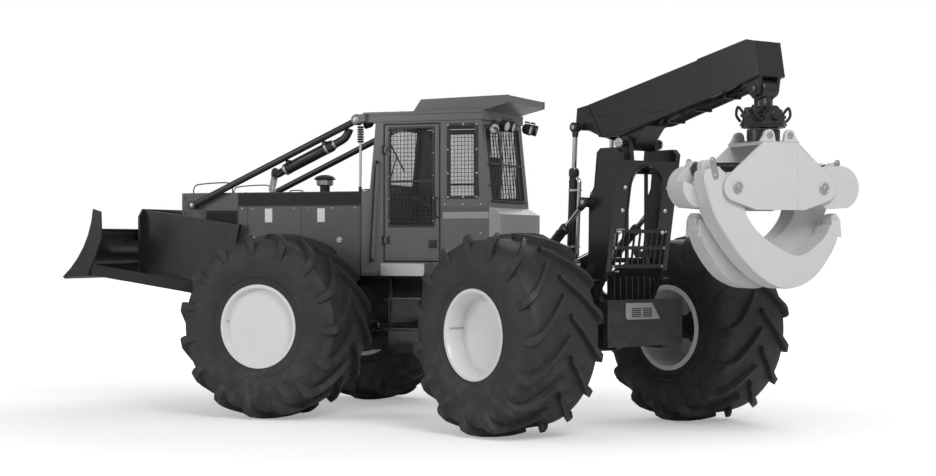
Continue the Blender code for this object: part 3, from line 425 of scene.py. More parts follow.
LUGS = 15
LUG_LINE = [  # foot and crest as (place across, radius), turn along the tread, half width, radians
    ((0.012, 0.885), (0.016, 0.958), 0.00, 0.028),
    ((0.10, 0.885), (0.10, 0.963), 0.10, 0.030),
    ((0.20, 0.880), (0.20, 0.963), 0.22, 0.032),
    ((0.29, 0.872), (0.295, 0.959), 0.33, 0.036),
    ((0.355, 0.850), (0.372, 0.948), 0.40, 0.041),
    ((0.395, 0.815), (0.425, 0.918), 0.435, 0.047),
    ((0.405, 0.770), (0.446, 0.870), 0.45, 0.050),
    ((0.415, 0.725), (0.447, 0.800), 0.455, 0.048),
    ((0.430, 0.700), (0.440, 0.745), 0.455, 0.044),
]


def wheel(short, depth):
    """A lugged tyre on a dished rim, turned about the wheel's own axis."""
    joint = JOINTS[f"wheel_{short}_spin"]
    side = 1 if short.endswith("l") else -1
    place = turned_frame((0, 0), Vector(joint["axis"]).cross(Vector((0, 0, 1))))
    place = Matrix.Translation(joint["pos_m"]) @ place
    body = "wheel_" + short
    carcass = [(0.400, 0.375), (0.425, 0.392), (0.448, 0.400), (0.475, 0.398), (0.50, 0.408), (0.56, 0.430),
               (0.63, 0.441), (0.70, 0.440), (0.765, 0.432), (0.82, 0.418), (0.862, 0.392), (0.884, 0.35),
               (0.895, 0.28), (0.902, 0.15), (0.904, 0.0)]
    inner = [(0.85, 0.0), (0.84, 0.28), (0.75, 0.38), (0.60, 0.39), (0.46, 0.36), (0.400, 0.33)]
    far_side = [(r, -a) for r, a in reversed(carcass[:-1])]
    far_lining = [(r, -a) for r, a in reversed(inner[1:])]
    loop = carcass + far_side + far_lining + inner
    tyre = Piece("tyre_" + short + "_lugged", body, place)
    tyre.lathe((0, 0, 0), (0, 1, 0), loop, 120, open_ring=True)
    rib = [(0.505, 0.405), (0.515, 0.421), (0.532, 0.427), (0.545, 0.418)]
    for hand in (1, -1):
        tyre.lathe((0, 0, 0), (0, hand, 0), rib, 96, open_ring=True)
        for lug in range(LUGS):
            first = math.tau * (lug + (0.5 if hand > 0 else 0.0)) / LUGS
            rings = []
            for foot, crest, turn, wide in LUG_LINE:
                ring = []
                for (across, radius), spread in ((foot, 1.45), (crest, 0.95)):
                    corners = []
                    for way in (-1, 1):
                        angle = first + turn + way * wide * spread
                        corners.append((radius * math.cos(angle), hand * across, radius * math.sin(angle)))
                    ring += corners if spread > 1 else corners[::-1]
                rings.append(ring)
            tyre.grow(rings)
    tyre.made(TYRE, bevel=0.006, replaces=("tyre_" + short,), angle=40)
    half_width, flange, barrel, thin = 0.41, 0.436, 0.400, 0.012
    disc = half_width - depth
    out = Piece("rim_" + short + "_dished", body, place)
    ends = ((0, 0, 0), (0, side, 0))
    out.lathe(*ends, [(0.0005, disc - 0.02), (barrel - thin, disc - 0.02), (barrel - thin, -half_width),
                      (flange, -half_width), (flange, -half_width + 0.014), (barrel, -half_width + 0.02),
                      (barrel, half_width - 0.022), (flange - 0.008, half_width - 0.016),
                      (flange, half_width - 0.008), (flange - 0.004, half_width),
                      (barrel + 0.004, half_width - 0.002), (barrel - 0.008, half_width - 0.02),
                      (barrel - 0.016, half_width - 0.05), (barrel - 0.022, disc + 0.07),
                      (barrel - 0.030, disc + 0.035), (barrel - 0.055, disc + 0.012), (0.30, disc),
                      (0.255, disc + 0.002), (0.235, disc + 0.016), (0.228, disc + 0.034),
                      (0.208, disc + 0.036), (0.200, disc + 0.020), (0.0005, disc + 0.020)], 96)
    out.lathe(*ends, [(0.385, disc + 0.085), (0.392, disc + 0.095), (0.385, disc + 0.105)], 96)
    out.made(RIM, bevel=0.0015, replaces=("rim_" + short,), angle=30)
    hub = Piece("hub_" + short, body, place)
    bolts = Piece("hub_bolts_" + short, body, place)
    face = disc + 0.055
    hub.lathe((0, 0, 0), (0, side, 0), [(0.205, disc + 0.012), (0.205, disc + 0.03), (0.196, disc + 0.036),
                                        (0.118, disc + 0.038), (0.112, face + 0.02), (0.100, face + 0.028),
                                        (0.060, face + 0.028), (0.055, face + 0.034),
                                        (0.0005, face + 0.034)], 64)
    hub.made(RIM, bevel=0.002)
    for number in range(20):
        angle = math.tau * (number + 0.5) / 20
        spot = Vector((0.158 * math.cos(angle), side * (disc + 0.037), 0.158 * math.sin(angle)))
        bolts.bolt(spot, (0, side, 0), 0.0125, 0.022)
    # Bolts deep in the rear rims' dishes take dark chassis paint, as painted shade in the recess; the front
    # ones are zinc.
    bolts.made(SILVER if depth < 0.2 else CHASSIS, bevel=0.0015)
    plug = Piece("hub_plug_" + short, body, place)
    plug.bolt((0.0, side * (face + 0.034), 0.0), (0, side, 0), 0.014, 0.014)
    plug.bolt((0.07, side * (face + 0.028), 0.03), (0, side, 0), 0.010, 0.012)
    plug.made(STEEL, bevel=0.0015)
    valve = Piece("valve_" + short, body, place)
    valve.tube([(0.372, side * (disc + 0.05), 0.05), (0.366, side * (disc + 0.10), 0.05),
                (0.375, side * (half_width - 0.03), 0.05)], 0.006, 10)
    valve.made(STEEL, bevel=0)


for short, depth in (("fl", 0.17), ("fr", 0.17), ("rl", 0.30), ("rr", 0.30)):
    wheel(short, depth)


# ---------------------------------------------------------------- hydraulic cylinders

def along(node, start, run):
    """How far a node reaches along a line, lowest and highest."""
    reach = [(vertex.co - start).dot(run) for vertex in NODES[node].data.vertices]
    return min(reach), max(reach)


def cylinder(name, radius, rod_radius, half, ports=True, rod_material=CHROME):
    """A barrel with an eye, weld beads, a gland nut and ports, and a polished rod with its own eye."""
    base = Vector(JOINTS[name + "_base"]["pos_m"])
    across = Vector(JOINTS[name + "_base"]["axis"]).normalized()
    run = Vector(JOINTS[name + "_stroke"]["axis"]).normalized()
    mouth = along(name + "_barrel", base, run)[1]
    head = radius * 1.1
    reach = along(name + "_rod", base, run)[1] - head * math.cos(math.pi / 8) * 0.5 - head * 0.5
    eye = base + run * reach
    body = name + "_barrel"
    barrel = Piece(name + "_barrel_fine", body, WORLD)
    barrel.lathe(base, base + run, [(0.001, radius * 0.5), (radius * 0.82, radius * 0.5),
                                    (radius * 0.98, radius + 0.005), (radius, radius + 0.02),
                                    (radius, mouth - 0.085), (radius + 0.002, mouth - 0.08),
                                    (radius + 0.007, mouth - 0.072), (radius + 0.007, mouth - 0.02),
                                    (radius, mouth - 0.015), (radius * 0.9, mouth - 0.002),
                                    (rod_radius + 0.008, mouth), (rod_radius + 0.004, mouth - 0.012),
                                    (0.001, mouth - 0.012)], 40)
    barrel.lathe(base - across * half, base, [(radius * 0.55, 0), (radius * 0.98, 0),
                                              (radius * 0.98, 2 * half), (radius * 0.55, 2 * half)], 36,
                 open_ring=True)
    if ports:
        lift = run.cross(across).normalized()
        if lift.z < 0:
            lift = -lift
        for share in (0.12, mouth - 0.14):
            spot = base + run * share + lift * radius * 0.9
            barrel.lathe(spot, spot + lift, [(0.016, 0), (0.016, 0.018), (0.012, 0.022)], 6)
    barrel.made(BLACK, bevel=0.0015, replaces=(name + "_barrel",))
    pins = Piece(name + "_pins", body, WORLD)
    wide = half + 0.004
    pins.lathe(base - across * wide, base, [(0.001, 0), (radius * 0.5, 0), (radius * 0.53, 0.003),
                                            (radius * 0.53, 2 * wide - 0.003), (radius * 0.5, 2 * wide),
                                            (0.001, 2 * wide)], 28)
    pins.made(STEEL, bevel=0)
    if ports:
        line = Piece(name + "_port_line", body, WORLD)
        lift = run.cross(across).normalized()
        lift = lift if lift.z >= 0 else -lift
        start = base + run * 0.14 + lift * (radius + 0.012)
        line.tube([start, start + lift * 0.004 + run * 0.03,
                   base + run * (mouth - 0.17) + lift * (radius + 0.016),
                   base + run * (mouth - 0.14) + lift * (radius + 0.010)], 0.006, 10, 5)
        line.made(SILVER, bevel=0)
    rod = Piece(name + "_rod_fine", name + "_rod", WORLD)
    inner = along(name + "_rod", base, run)[0]
    rod.lathe(base + run * inner, eye, [(0.001, 0), (rod_radius, 0), (rod_radius, reach - inner - head * 0.8),
                                        (0.001, reach - inner - head * 0.8)], 32)
    rod.made(rod_material, bevel=0, replaces=(name + "_rod",))
    end = Piece(name + "_rod_eye", name + "_rod", WORLD)
    end.lathe(eye - across * half, eye, [(head * 0.5, 0), (head * 0.94, 0), (head, 0.004),
                                         (head, 2 * half - 0.004), (head * 0.94, 2 * half),
                                         (head * 0.5, 2 * half)], 36, open_ring=True)
    end.lathe(eye - run * (head + 0.05), eye, [(rod_radius + 0.001, 0), (rod_radius * 1.25, 0.012),
                                              (rod_radius * 1.35, 0.05), (rod_radius * 1.2, 0.06)], 28)
    end.made(BLACK, bevel=0.0015)
    caps = Piece(name + "_rod_pin", name + "_rod", WORLD)
    caps.lathe(eye - across * wide, eye,
               [(0.001, 0), (head * 0.48, 0), (head * 0.48, 2 * wide), (0.001, 2 * wide)], 28)
    caps.made(STEEL, bevel=0.002)


for hand in ("left", "right"):
    cylinder(f"blade_cylinder_{hand}", 0.042, 0.024, 0.03, ports=False)
    cylinder(f"steering_cylinder_{hand}", 0.040, 0.022, 0.018, ports=False)
    cylinder(f"arch_cylinder_{hand}", 0.045, 0.026, 0.04)
    cylinder(f"boom_cylinder_{hand}", 0.045, 0.024, 0.038)
cylinder("tong_cylinder", 0.05, 0.028, 0.055, ports=False)

HANDS = (("left", 1), ("right", -1))


def side_span(side, near, far):
    return sorted((side * near, side * far))


def frame_ring(piece, x, z, wide, y):
    """A flat rectangular frame around an opening, in an X-Z plane."""
    (x0, x1), (z0, z1) = x, z
    piece.block((x0 - wide, x1 + wide), y, (z1, z1 + wide))
    piece.block((x0 - wide, x1 + wide), y, (z0 - wide, z0))
    piece.block((x0 - wide, x0), y, (z0, z1))
    return piece.block((x1, x1 + wide), y, (z0, z1))


def guard(piece, x, z, y, pitch, bar):
    """A square wire guard in an X-Z plane."""
    columns, rows = round((x[1] - x[0]) / pitch), round((z[1] - z[0]) / pitch)
    for step in range(1, columns):
        at = x[0] + (x[1] - x[0]) * step / columns
        piece.block((at - bar / 2, at + bar / 2), (y, y + bar), z)
    for step in range(1, rows):
        at = z[0] + (z[1] - z[0]) * step / rows
        piece.block(x, (y + bar * 0.8, y + bar * 1.8), (at - bar / 2, at + bar / 2))
    return piece


def rounded(name, body, centre, size, material, power=4.0, crown=0.0, tilt=0.0, place=FRONT):
    """A soft-edged crowned form, such as a cushion; tilt leans it back about Y, in degrees."""
    shape = bmesh.new()
    bmesh.ops.create_cube(shape, size=2.0)
    bmesh.ops.subdivide_edges(shape, edges=shape.edges, cuts=9, use_grid_fill=True)
    lean = Matrix.Rotation(math.radians(tilt), 4, "Y")
    for vertex in shape.verts:
        u, v, w = vertex.co
        length = (abs(u) ** power + abs(v) ** power + abs(w) ** power) ** (1 / power)
        most = max(abs(u), abs(v), abs(w))
        spot = Vector((u, v, w)) * (most / length)
        spot.z *= 1 + crown * (1 - u * u) * (1 - v * v) if w > 0 else 1
        vertex.co = Vector(centre) + lean @ Vector((spot.x * size[0] / 2, spot.y * size[1] / 2,
                                                    spot.z * size[2] / 2))
    piece = Piece(name, body, place)
    piece.shape.free()
    piece.shape = shape
    return piece.made(material, bevel=0, angle=70)


# ---------------------------------------------------------------- cab

DOOR_X, DOOR_Z = (0.046, 0.694), (1.631, 3.094)
LIGHT_X, LIGHT_Z = (0.13, 0.62), (2.02, 3.04)
SIDE_X, SIDE_Z = (-0.40, -0.06), (2.32, 3.06)
FACE = 0.60
for hand, side in HANDS:
    door = "door_" + hand
    seal = Piece(f"{door}_seal", door)
    frame_ring(seal, (DOOR_X[0] + 0.012, DOOR_X[1] - 0.012), (DOOR_Z[0] + 0.012, DOOR_Z[1] - 0.012), 0.011,
               side_span(side, FACE - 0.002, FACE + 0.0035))
    seal.made(HOSE, bevel=0.0015)
    skin = Piece(f"{door}_skin", door)
    skin.block((DOOR_X[0] + 0.03, DOOR_X[1] - 0.03), side_span(side, FACE - 0.002, FACE + 0.004),
               (DOOR_Z[0] + 0.03, LIGHT_Z[0] - 0.045))
    skin.made(CAB, bevel=0.003)
    rim = Piece(f"{door}_guard_frame", door)
    frame_ring(rim, LIGHT_X, LIGHT_Z, 0.022, side_span(side, FACE - 0.002, FACE + 0.009))
    rim.made(BLACK, bevel=0.002)
    wires = Piece(f"{door}_guard", door)
    guard(wires, (LIGHT_X[0] - 0.01, LIGHT_X[1] + 0.01), (LIGHT_Z[0] - 0.01, LIGHT_Z[1] + 0.01),
          side * (FACE - 0.004) - 0.004, 0.044, 0.005)
    wires.block((LIGHT_X[0] - 0.01, LIGHT_X[1] + 0.01), side_span(side, FACE - 0.006, FACE + 0.006),
                (2.47, 2.495))
    wires.made(MESH_STEEL, bevel=0)
    pane = Piece(f"{door}_glass", door)
    pane.block(LIGHT_X, side_span(side, FACE - 0.026, FACE - 0.021), LIGHT_Z)
    pane.made(GLASS, bevel=0)
    latch = Piece(f"{door}_latch", door)
    latch.block((0.085, 0.165), side_span(side, FACE + 0.003, FACE + 0.022), (1.78, 1.86))
    latch.block((0.10, 0.15), side_span(side, FACE + 0.02, FACE + 0.034), (1.80, 1.822))
    latch.tube([(0.075, side * (FACE + 0.004), 2.10), (0.075, side * (FACE + 0.045), 2.115),
                (0.075, side * (FACE + 0.045), 2.29), (0.075, side * (FACE + 0.004), 2.305)], 0.008, 12)
    latch.made(PLASTIC, bevel=0.003)
    studs = Piece(f"{door}_bolts", door)
    for z in (2.06, 2.30, 2.54, 2.78, 3.00):
        for x in (LIGHT_X[0] - 0.011, LIGHT_X[1] + 0.011):
            studs.bolt((x, side * (FACE + 0.009), z), (0, side, 0), 0.0055, 0.006)
    for z in (1.83, 1.89, 2.79, 2.85):
        studs.bolt((0.665, side * (FACE + 0.003), z), (0, side, 0), 0.008, 0.007)
    studs.made(STEEL, bevel=0)
    hinges = Piece(f"{door}_hinges", door)
    for z in (1.80, 2.76):
        hinges.block((0.62, 0.692), side_span(side, FACE + 0.001, FACE + 0.0085), (z + 0.015, z + 0.105))
        hinges.lathe((0.697, side * 0.618, z + 0.012), (0.697, side * 0.618, z + 1),
                     [(0.0135, 0), (0.0135, 0.096)], 20)
    hinges.made(BLACK, bevel=0.002)

    trim = Piece(f"side_window_frame_{hand}", "front_chassis")
    frame_ring(trim, (SIDE_X[0] + 0.04, SIDE_X[1]), SIDE_Z, 0.026,
               side_span(side, FACE - 0.001, FACE + 0.007))
    trim.made(BLACK, bevel=0.002)
    pane = Piece(f"side_window_{hand}", "front_chassis")
    pane.plate("Y", side_span(side, FACE - 0.014, FACE - 0.009),
               [(-0.405, 2.315), (-0.055, 2.315), (-0.055, 3.065), (-0.352, 3.065)])
    pane.made(GLASS, bevel=0)
    studs = Piece(f"side_window_bolts_{hand}", "front_chassis")
    for z in (2.31, 2.56, 2.81, 3.07):
        for x in (SIDE_X[0] + 0.028, SIDE_X[1] + 0.012):
            studs.bolt((x, side * (FACE + 0.007), z), (0, side, 0), 0.008, 0.008)
    for z in (2.308, 3.072):
        studs.bolt((-0.22, side * (FACE + 0.007), z), (0, side, 0), 0.008, 0.008)
    studs.made(STEEL, bevel=0)
    if side < 0:
        wires = Piece("side_guard_right", "front_chassis")
        guard(wires, (-0.39, -0.06), (2.32, 3.06), -FACE + 0.012, 0.05, 0.006)
        wires.made(MESH_STEEL, bevel=0)
    sill = Piece(f"cab_sill_{hand}", "front_chassis")
    sill.block((-0.50, 0.95), side_span(side, FACE - 0.002, FACE + 0.006), (1.50, 1.545))
    for x in (-0.44, -0.28, -0.10, 0.80, 0.90):
        sill.bolt((x, side * (FACE + 0.006), 1.522), (0, side, 0), 0.008, 0.008)
    sill.made(CAB, bevel=0.002)
    vent = Piece(f"cab_side_plate_{hand}", "front_chassis")
    vent.block((-0.44, 0.01), side_span(side, FACE - 0.001, FACE + 0.003), (1.60, 2.255))
    vent.made(CAB, bevel=0.002)
    heads = Piece(f"cab_side_bolts_{hand}", "front_chassis")
    for x in (-0.42, -0.215, -0.01):
        for z in (1.62, 2.235):
            heads.bolt((x, side * (FACE + 0.003), z), (0, side, 0), 0.007, 0.006)
    heads.bolt((-0.42, side * (FACE + 0.003), 1.93), (0, side, 0), 0.007, 0.006)
    heads.made(STEEL, bevel=0)
    for name, low, high, paint in (("dark", 2.155, 2.205, BODY), ("pale", 2.085, 2.155, COWL)):
        band = Piece(f"cab_band_{name}_{hand}", "front_chassis")
        band.block((-0.508, 0.012), side_span(side, FACE + 0.001, FACE + 0.0045), (low, high))
        band.made(paint, bevel=0.0008)
    hold = Piece(f"cab_handrail_{hand}", "front_chassis")
    hold.tube([(0.83, side * (FACE - 0.01), 1.66), (0.83, side * (FACE + 0.055), 1.68),
               (0.80, side * (FACE + 0.055), 2.2), (0.77, side * (FACE + 0.055), 2.66),
               (0.77, side * (FACE - 0.01), 2.68)], 0.012, 14)
    hold.made(BLACK, bevel=0)
    box = Piece(f"step_box_cover_{hand}", "front_chassis")
    box.block((0.138, 0.642), side_span(side, 0.7995, 0.803), (1.4815, 1.6115))
    box.block((0.138, 0.1405), side_span(side, 0.602, 0.803), (1.4815, 1.6115))
    box.made(STEEL, bevel=0.001)
    tread = Piece(f"step_treads_{hand}", "front_chassis")
    for low, span in ((1.612, (0.14, 0.64)), (1.24, (0.20, 0.60)), (0.92, (0.20, 0.60))):
        for row in range(5):
            for column in range(int((span[1] - span[0]) / 0.05)):
                x = span[0] + 0.03 + column * 0.05
                y = 0.645 + row * 0.03
                tread.block((x - 0.010, x + 0.010), side_span(side, y - 0.004, y + 0.004),
                            (low - 0.001, low + 0.004))
    tread.made(STEEL, bevel=0)

gasket = Piece("windshield_gasket", "front_chassis")
for y in side_span(1, 0.512, 0.53), side_span(-1, 0.512, 0.53):
    gasket.plate("Y", y, [(0.852, 2.44), (0.835, 2.44), (0.775, 3.08), (0.792, 3.08)])
gasket.plate("Y", (-0.53, 0.53), [(0.851, 2.462), (0.835, 2.462), (0.838, 2.435), (0.853, 2.435)])
gasket.plate("Y", (-0.53, 0.53), [(0.794, 3.06), (0.777, 3.06), (0.774, 3.085), (0.792, 3.085)])
gasket.made(HOSE, bevel=0.002)
gasket = Piece("rear_window_gasket", "front_chassis")
for low, high in ((0.490, 0.512), (-0.512, -0.490)):
    gasket.plate("Y", (low, high), [(-0.500, 2.27), (-0.482, 2.27), (-0.404, 3.06), (-0.422, 3.06)])
gasket.plate("Y", (-0.512, 0.512), [(-0.501, 2.268), (-0.483, 2.268), (-0.481, 2.292), (-0.499, 2.292)])
gasket.plate("Y", (-0.512, 0.512), [(-0.425, 3.035), (-0.407, 3.035), (-0.404, 3.062), (-0.422, 3.062)])
gasket.made(HOSE, bevel=0.002)
bars = Piece("rear_window_bars", "front_chassis")
for step in range(1, 12):
    y = -0.49 + 0.98 * step / 12
    bars.bars([(-0.512, y, 2.25), (-0.432, y, 3.075)], 0.008, 0.008, up=(0, 1, 0))
for z in (2.27, 2.66, 3.06):
    x = -0.512 + (z - 2.27) * 0.0985 - 0.004
    bars.block((x - 0.006, x + 0.006), (-0.515, 0.515), (z - 0.010, z + 0.010))
bars.made(MESH_STEEL, bevel=0)
wiper = Piece("windshield_wiper", "front_chassis")
wiper.tube([(0.866, 0.1, 2.43), (0.858, 0.05, 2.55), (0.835, -0.06, 2.80)], 0.006, 10)
wiper.bars([(0.850, -0.30, 2.62), (0.825, 0.16, 2.92)], 0.010, 0.016)
wiper.lathe((0.85, 0.1, 2.42), (0.95, 0.1, 2.42), [(0.022, 0), (0.022, 0.022), (0.015, 0.03)], 20)
wiper.made(PLASTIC, bevel=0)

lamps = (("rear_left_outer", (-0.62, 0.44, 3.06), (-1, 0.25, -0.30)),
         ("rear_left_inner", (-0.62, 0.26, 3.06), (-1, 0.0, -0.30)),
         ("rear_right_outer", (-0.62, -0.44, 3.06), (-1, -0.25, -0.30)),
         ("rear_right_inner", (-0.62, -0.26, 3.06), (-1, 0, -0.30)),
         ("front_left", (0.97, 0.40, 3.13), (1, 0.12, -0.22)),
         ("front_right", (0.97, -0.40, 3.13), (1, -0.12, -0.22)),
         ("side_left", (-0.55, 0.565, 3.03), (-0.6, 1, -0.3)))
for name, at, aim in lamps:
    at, aim = Vector(at), Vector(aim).normalized()
    shell = Piece(f"lamp_{name}", "front_chassis")
    shell.lathe(at - aim * 0.055, at + aim, [(0.020, 0.0), (0.040, 0.008), (0.056, 0.03), (0.060, 0.085),
                                             (0.060, 0.10), (0.052, 0.10), (0.050, 0.088), (0.001, 0.088)],
                28)
    shell.bars([at + Vector((0, -0.066, 0)), at + Vector((0, -0.066, 0.075)), at + Vector((0, 0.066, 0.075)),
                at + Vector((0, 0.066, 0))], 0.022, 0.005, up=(1, 0, 0.01))
    shell.made(PLASTIC, bevel=0.0015)
    lens = Piece(f"lamp_{name}_lens", "front_chassis")
    lens.lathe(at - aim * 0.055, at + aim, [(0.050, 0.086), (0.050, 0.092), (0.030, 0.097), (0.001, 0.098)],
               28)
    lens.made(LENS, bevel=0)
loop = Piece("rear_grab_loop", "front_chassis")
loop.tube([(-0.46, 0.575, 3.03), (-0.56, 0.60, 3.03), (-0.615, 0.605, 2.98), (-0.64, 0.605, 2.70),
           (-0.64, 0.605, 2.50), (-0.60, 0.60, 2.44), (-0.50, 0.575, 2.43)], 0.011, 14)
loop.made(BLACK, bevel=0)
roof = Piece("roof_seams", "front_chassis")
for side in (-1, 1):
    roof.block((-0.44, 0.93), side_span(side, 0.608, 0.618), (3.195, 3.225))
    for step in range(8):
        roof.bolt((-0.36 + 0.17 * step, side * 0.60, 3.22), (0, 0, 1), 0.009, 0.008)
    roof.plate("Y", side_span(side, 0.548, 0.556),
               [(0.38, 3.215), (0.285, 3.352), (-0.715, 3.375), (-0.715, 3.295), (-0.40, 3.215)])
roof.block((0.925, 0.945), (-0.53, 0.53), (3.15, 3.215))
roof.made(CAB, bevel=0.003)
roof = Piece("canopy_gear", "front_chassis")
for y in (-0.42, 0.42):
    roof.lathe((-0.66, y, 3.34), (-0.66, y + 0.1, 3.34),
               [(0.012, 0), (0.026, 0.004), (0.026, 0.05), (0.012, 0.054)], 20)
for x, y in ((0.30, 0.48), (0.30, -0.48), (-0.05, 0.48), (-0.05, -0.48), (-0.40, 0.48), (-0.40, -0.48)):
    z = 3.345 + (0.28 - x) * 0.02525 if x < 0.28 else 3.318
    roof.bolt((x - 0.03, y, z), (0, 0, 1), 0.010, 0.010)
roof.made(BLACK, bevel=0.002)
stack = Piece("riser_hose_coil", "front_chassis")
for step in range(7):
    z = 2.905 + step * 0.026
    stack.lathe((0.985, 0.565, z), (0.985, 0.565, z + 1),
                [(0.022, 0), (0.036, 0.004), (0.036, 0.018), (0.022, 0.022)], 24)
stack.made(HOSE, bevel=0.001)
stack = Piece("post_tube_upper", "front_chassis")
stack.tube([(0.985, 0.565, 2.90), (0.985, 0.570, 2.62), (0.985, 0.575, 2.42)], 0.014, 16)
stack.made(SILVER, bevel=0)
stack = Piece("post_tube_lower", "front_chassis")
stack.tube([(0.985, 0.575, 2.43), (0.983, 0.578, 2.40), (0.982, 0.575, 2.386)], 0.018, 16)
stack.made(HOSE, bevel=0)
mirror = Piece("precleaner_fine", "front_chassis")
mirror.lathe((1.69, 0, 2.386), (1.69, 0, 3), [(0.075, 0), (0.075, 0.008), (0.055, 0.012), (0.055, 0.075),
                                              (0.060, 0.082), (0.001, 0.082)], 40)
mirror.lathe((1.69, 0, 2.530), (1.69, 0, 3), [(0.098, 0), (0.119, 0.004), (0.120, 0.010), (0.105, 0.034),
                                              (0.070, 0.050), (0.030, 0.058), (0.001, 0.059)], 40)
mirror.made(PLASTIC, bevel=0.001, replaces=("precleaner",))
bowl = Piece("precleaner_bowl", "front_chassis")
bowl.lathe((1.69, 0, 2.462), (1.69, 0, 3),
           [(0.062, 0), (0.090, 0.012), (0.094, 0.030), (0.094, 0.066), (0.090, 0.070), (0.001, 0.070)], 40)
bowl.made(SILVER, bevel=0.001)

# seat and controls
rounded("seat_cushion", "front_chassis", (-0.03, 0, 2.03), (0.48, 0.47, 0.13), FABRIC, 4.5, 0.25)
rounded("seat_back", "front_chassis", (-0.29, 0, 2.40), (0.12, 0.44, 0.66), FABRIC, 4.5, 0.0, -6.5)
rounded("seat_headrest", "front_chassis", (-0.345, 0, 2.70), (0.085, 0.27, 0.10), FABRIC, 3.5, 0.0, -6.5)
for hand, side in HANDS:
    rounded(f"seat_armrest_{hand}", "front_chassis", (-0.02, side * 0.29, 2.225), (0.34, 0.075, 0.05),
            PLASTIC, 4.0)
base = Piece("seat_base", "front_chassis")
base.block((-0.20, 0.12), (-0.15, 0.15), (1.541, 1.60))
for step in range(6):
    z = 1.62 + step * 0.055
    wide = 0.145 - 0.012 * (step % 2)
    base.block((-0.04 - wide, -0.04 + wide), (-wide, wide), (z, z + 0.05))
base.block((-0.22, 0.16), (-0.19, 0.19), (1.945, 1.975))
base.tube([(-0.18, -0.22, 2.0), (-0.18, -0.29, 2.02), (-0.17, -0.29, 2.20)], 0.014, 12)
base.tube([(-0.18, 0.22, 2.0), (-0.18, 0.29, 2.02), (-0.17, 0.29, 2.20)], 0.014, 12)
base.made(PLASTIC, bevel=0.008, replaces=("operator_seat",))
hub, above = Vector((0.42, 0, 2.22)), Vector((0.34, 0, 2.42))
lean = (above - hub).normalized()
column = Piece("steering_gear", "front_chassis")
column.rod((0.62, 0, 1.566), hub, 0.034, 24)
column.lathe(hub - lean * 0.01, above,
             [(0.001, 0), (0.045, 0), (0.050, 0.012), (0.035, 0.03), (0.001, 0.03)], 28)
turn = lean.to_track_quat("Z", "Y").to_matrix()
ring = [hub + lean * 0.015 + turn @ Vector((0.208 * math.cos(math.tau * s / 48),
                                            0.208 * math.sin(math.tau * s / 48), 0)) for s in range(49)]
column.tube(ring, 0.014, 12, 1)
for s in range(3):
    spoke = turn @ Vector((math.cos(math.tau * s / 3 + 0.5), math.sin(math.tau * s / 3 + 0.5), 0))
    column.rod(hub + lean * 0.01, hub + lean * 0.015 + spoke * 0.20, 0.010, 12)
column.made(PLASTIC, bevel=0, replaces=("steering_column",))
console = Piece("cab_consoles", "front_chassis")
for side in (-1, 1):
    console.plate("Y", side_span(side, 0.36, 0.50),
                  [(-0.10, 1.545), (0.30, 1.545), (0.30, 2.05), (0.24, 2.16), (-0.10, 2.16)])
    for x in (0.02, 0.12, 0.21):
        console.tube([(x, side * 0.43, 2.15), (x + 0.01, side * 0.43, 2.24), (x, side * 0.425, 2.30)],
                     0.008, 10)
        console.lathe((x, side * 0.425, 2.29), (x, side * 0.425, 3),
                      [(0.008, 0), (0.020, 0.012), (0.020, 0.03), (0.008, 0.042)], 16)
console.block((0.76, 0.90), (-0.50, 0.50), (2.05, 2.38))
console.made(PLASTIC, bevel=0.006)

# ---------------------------------------------------------------- hood and radiator

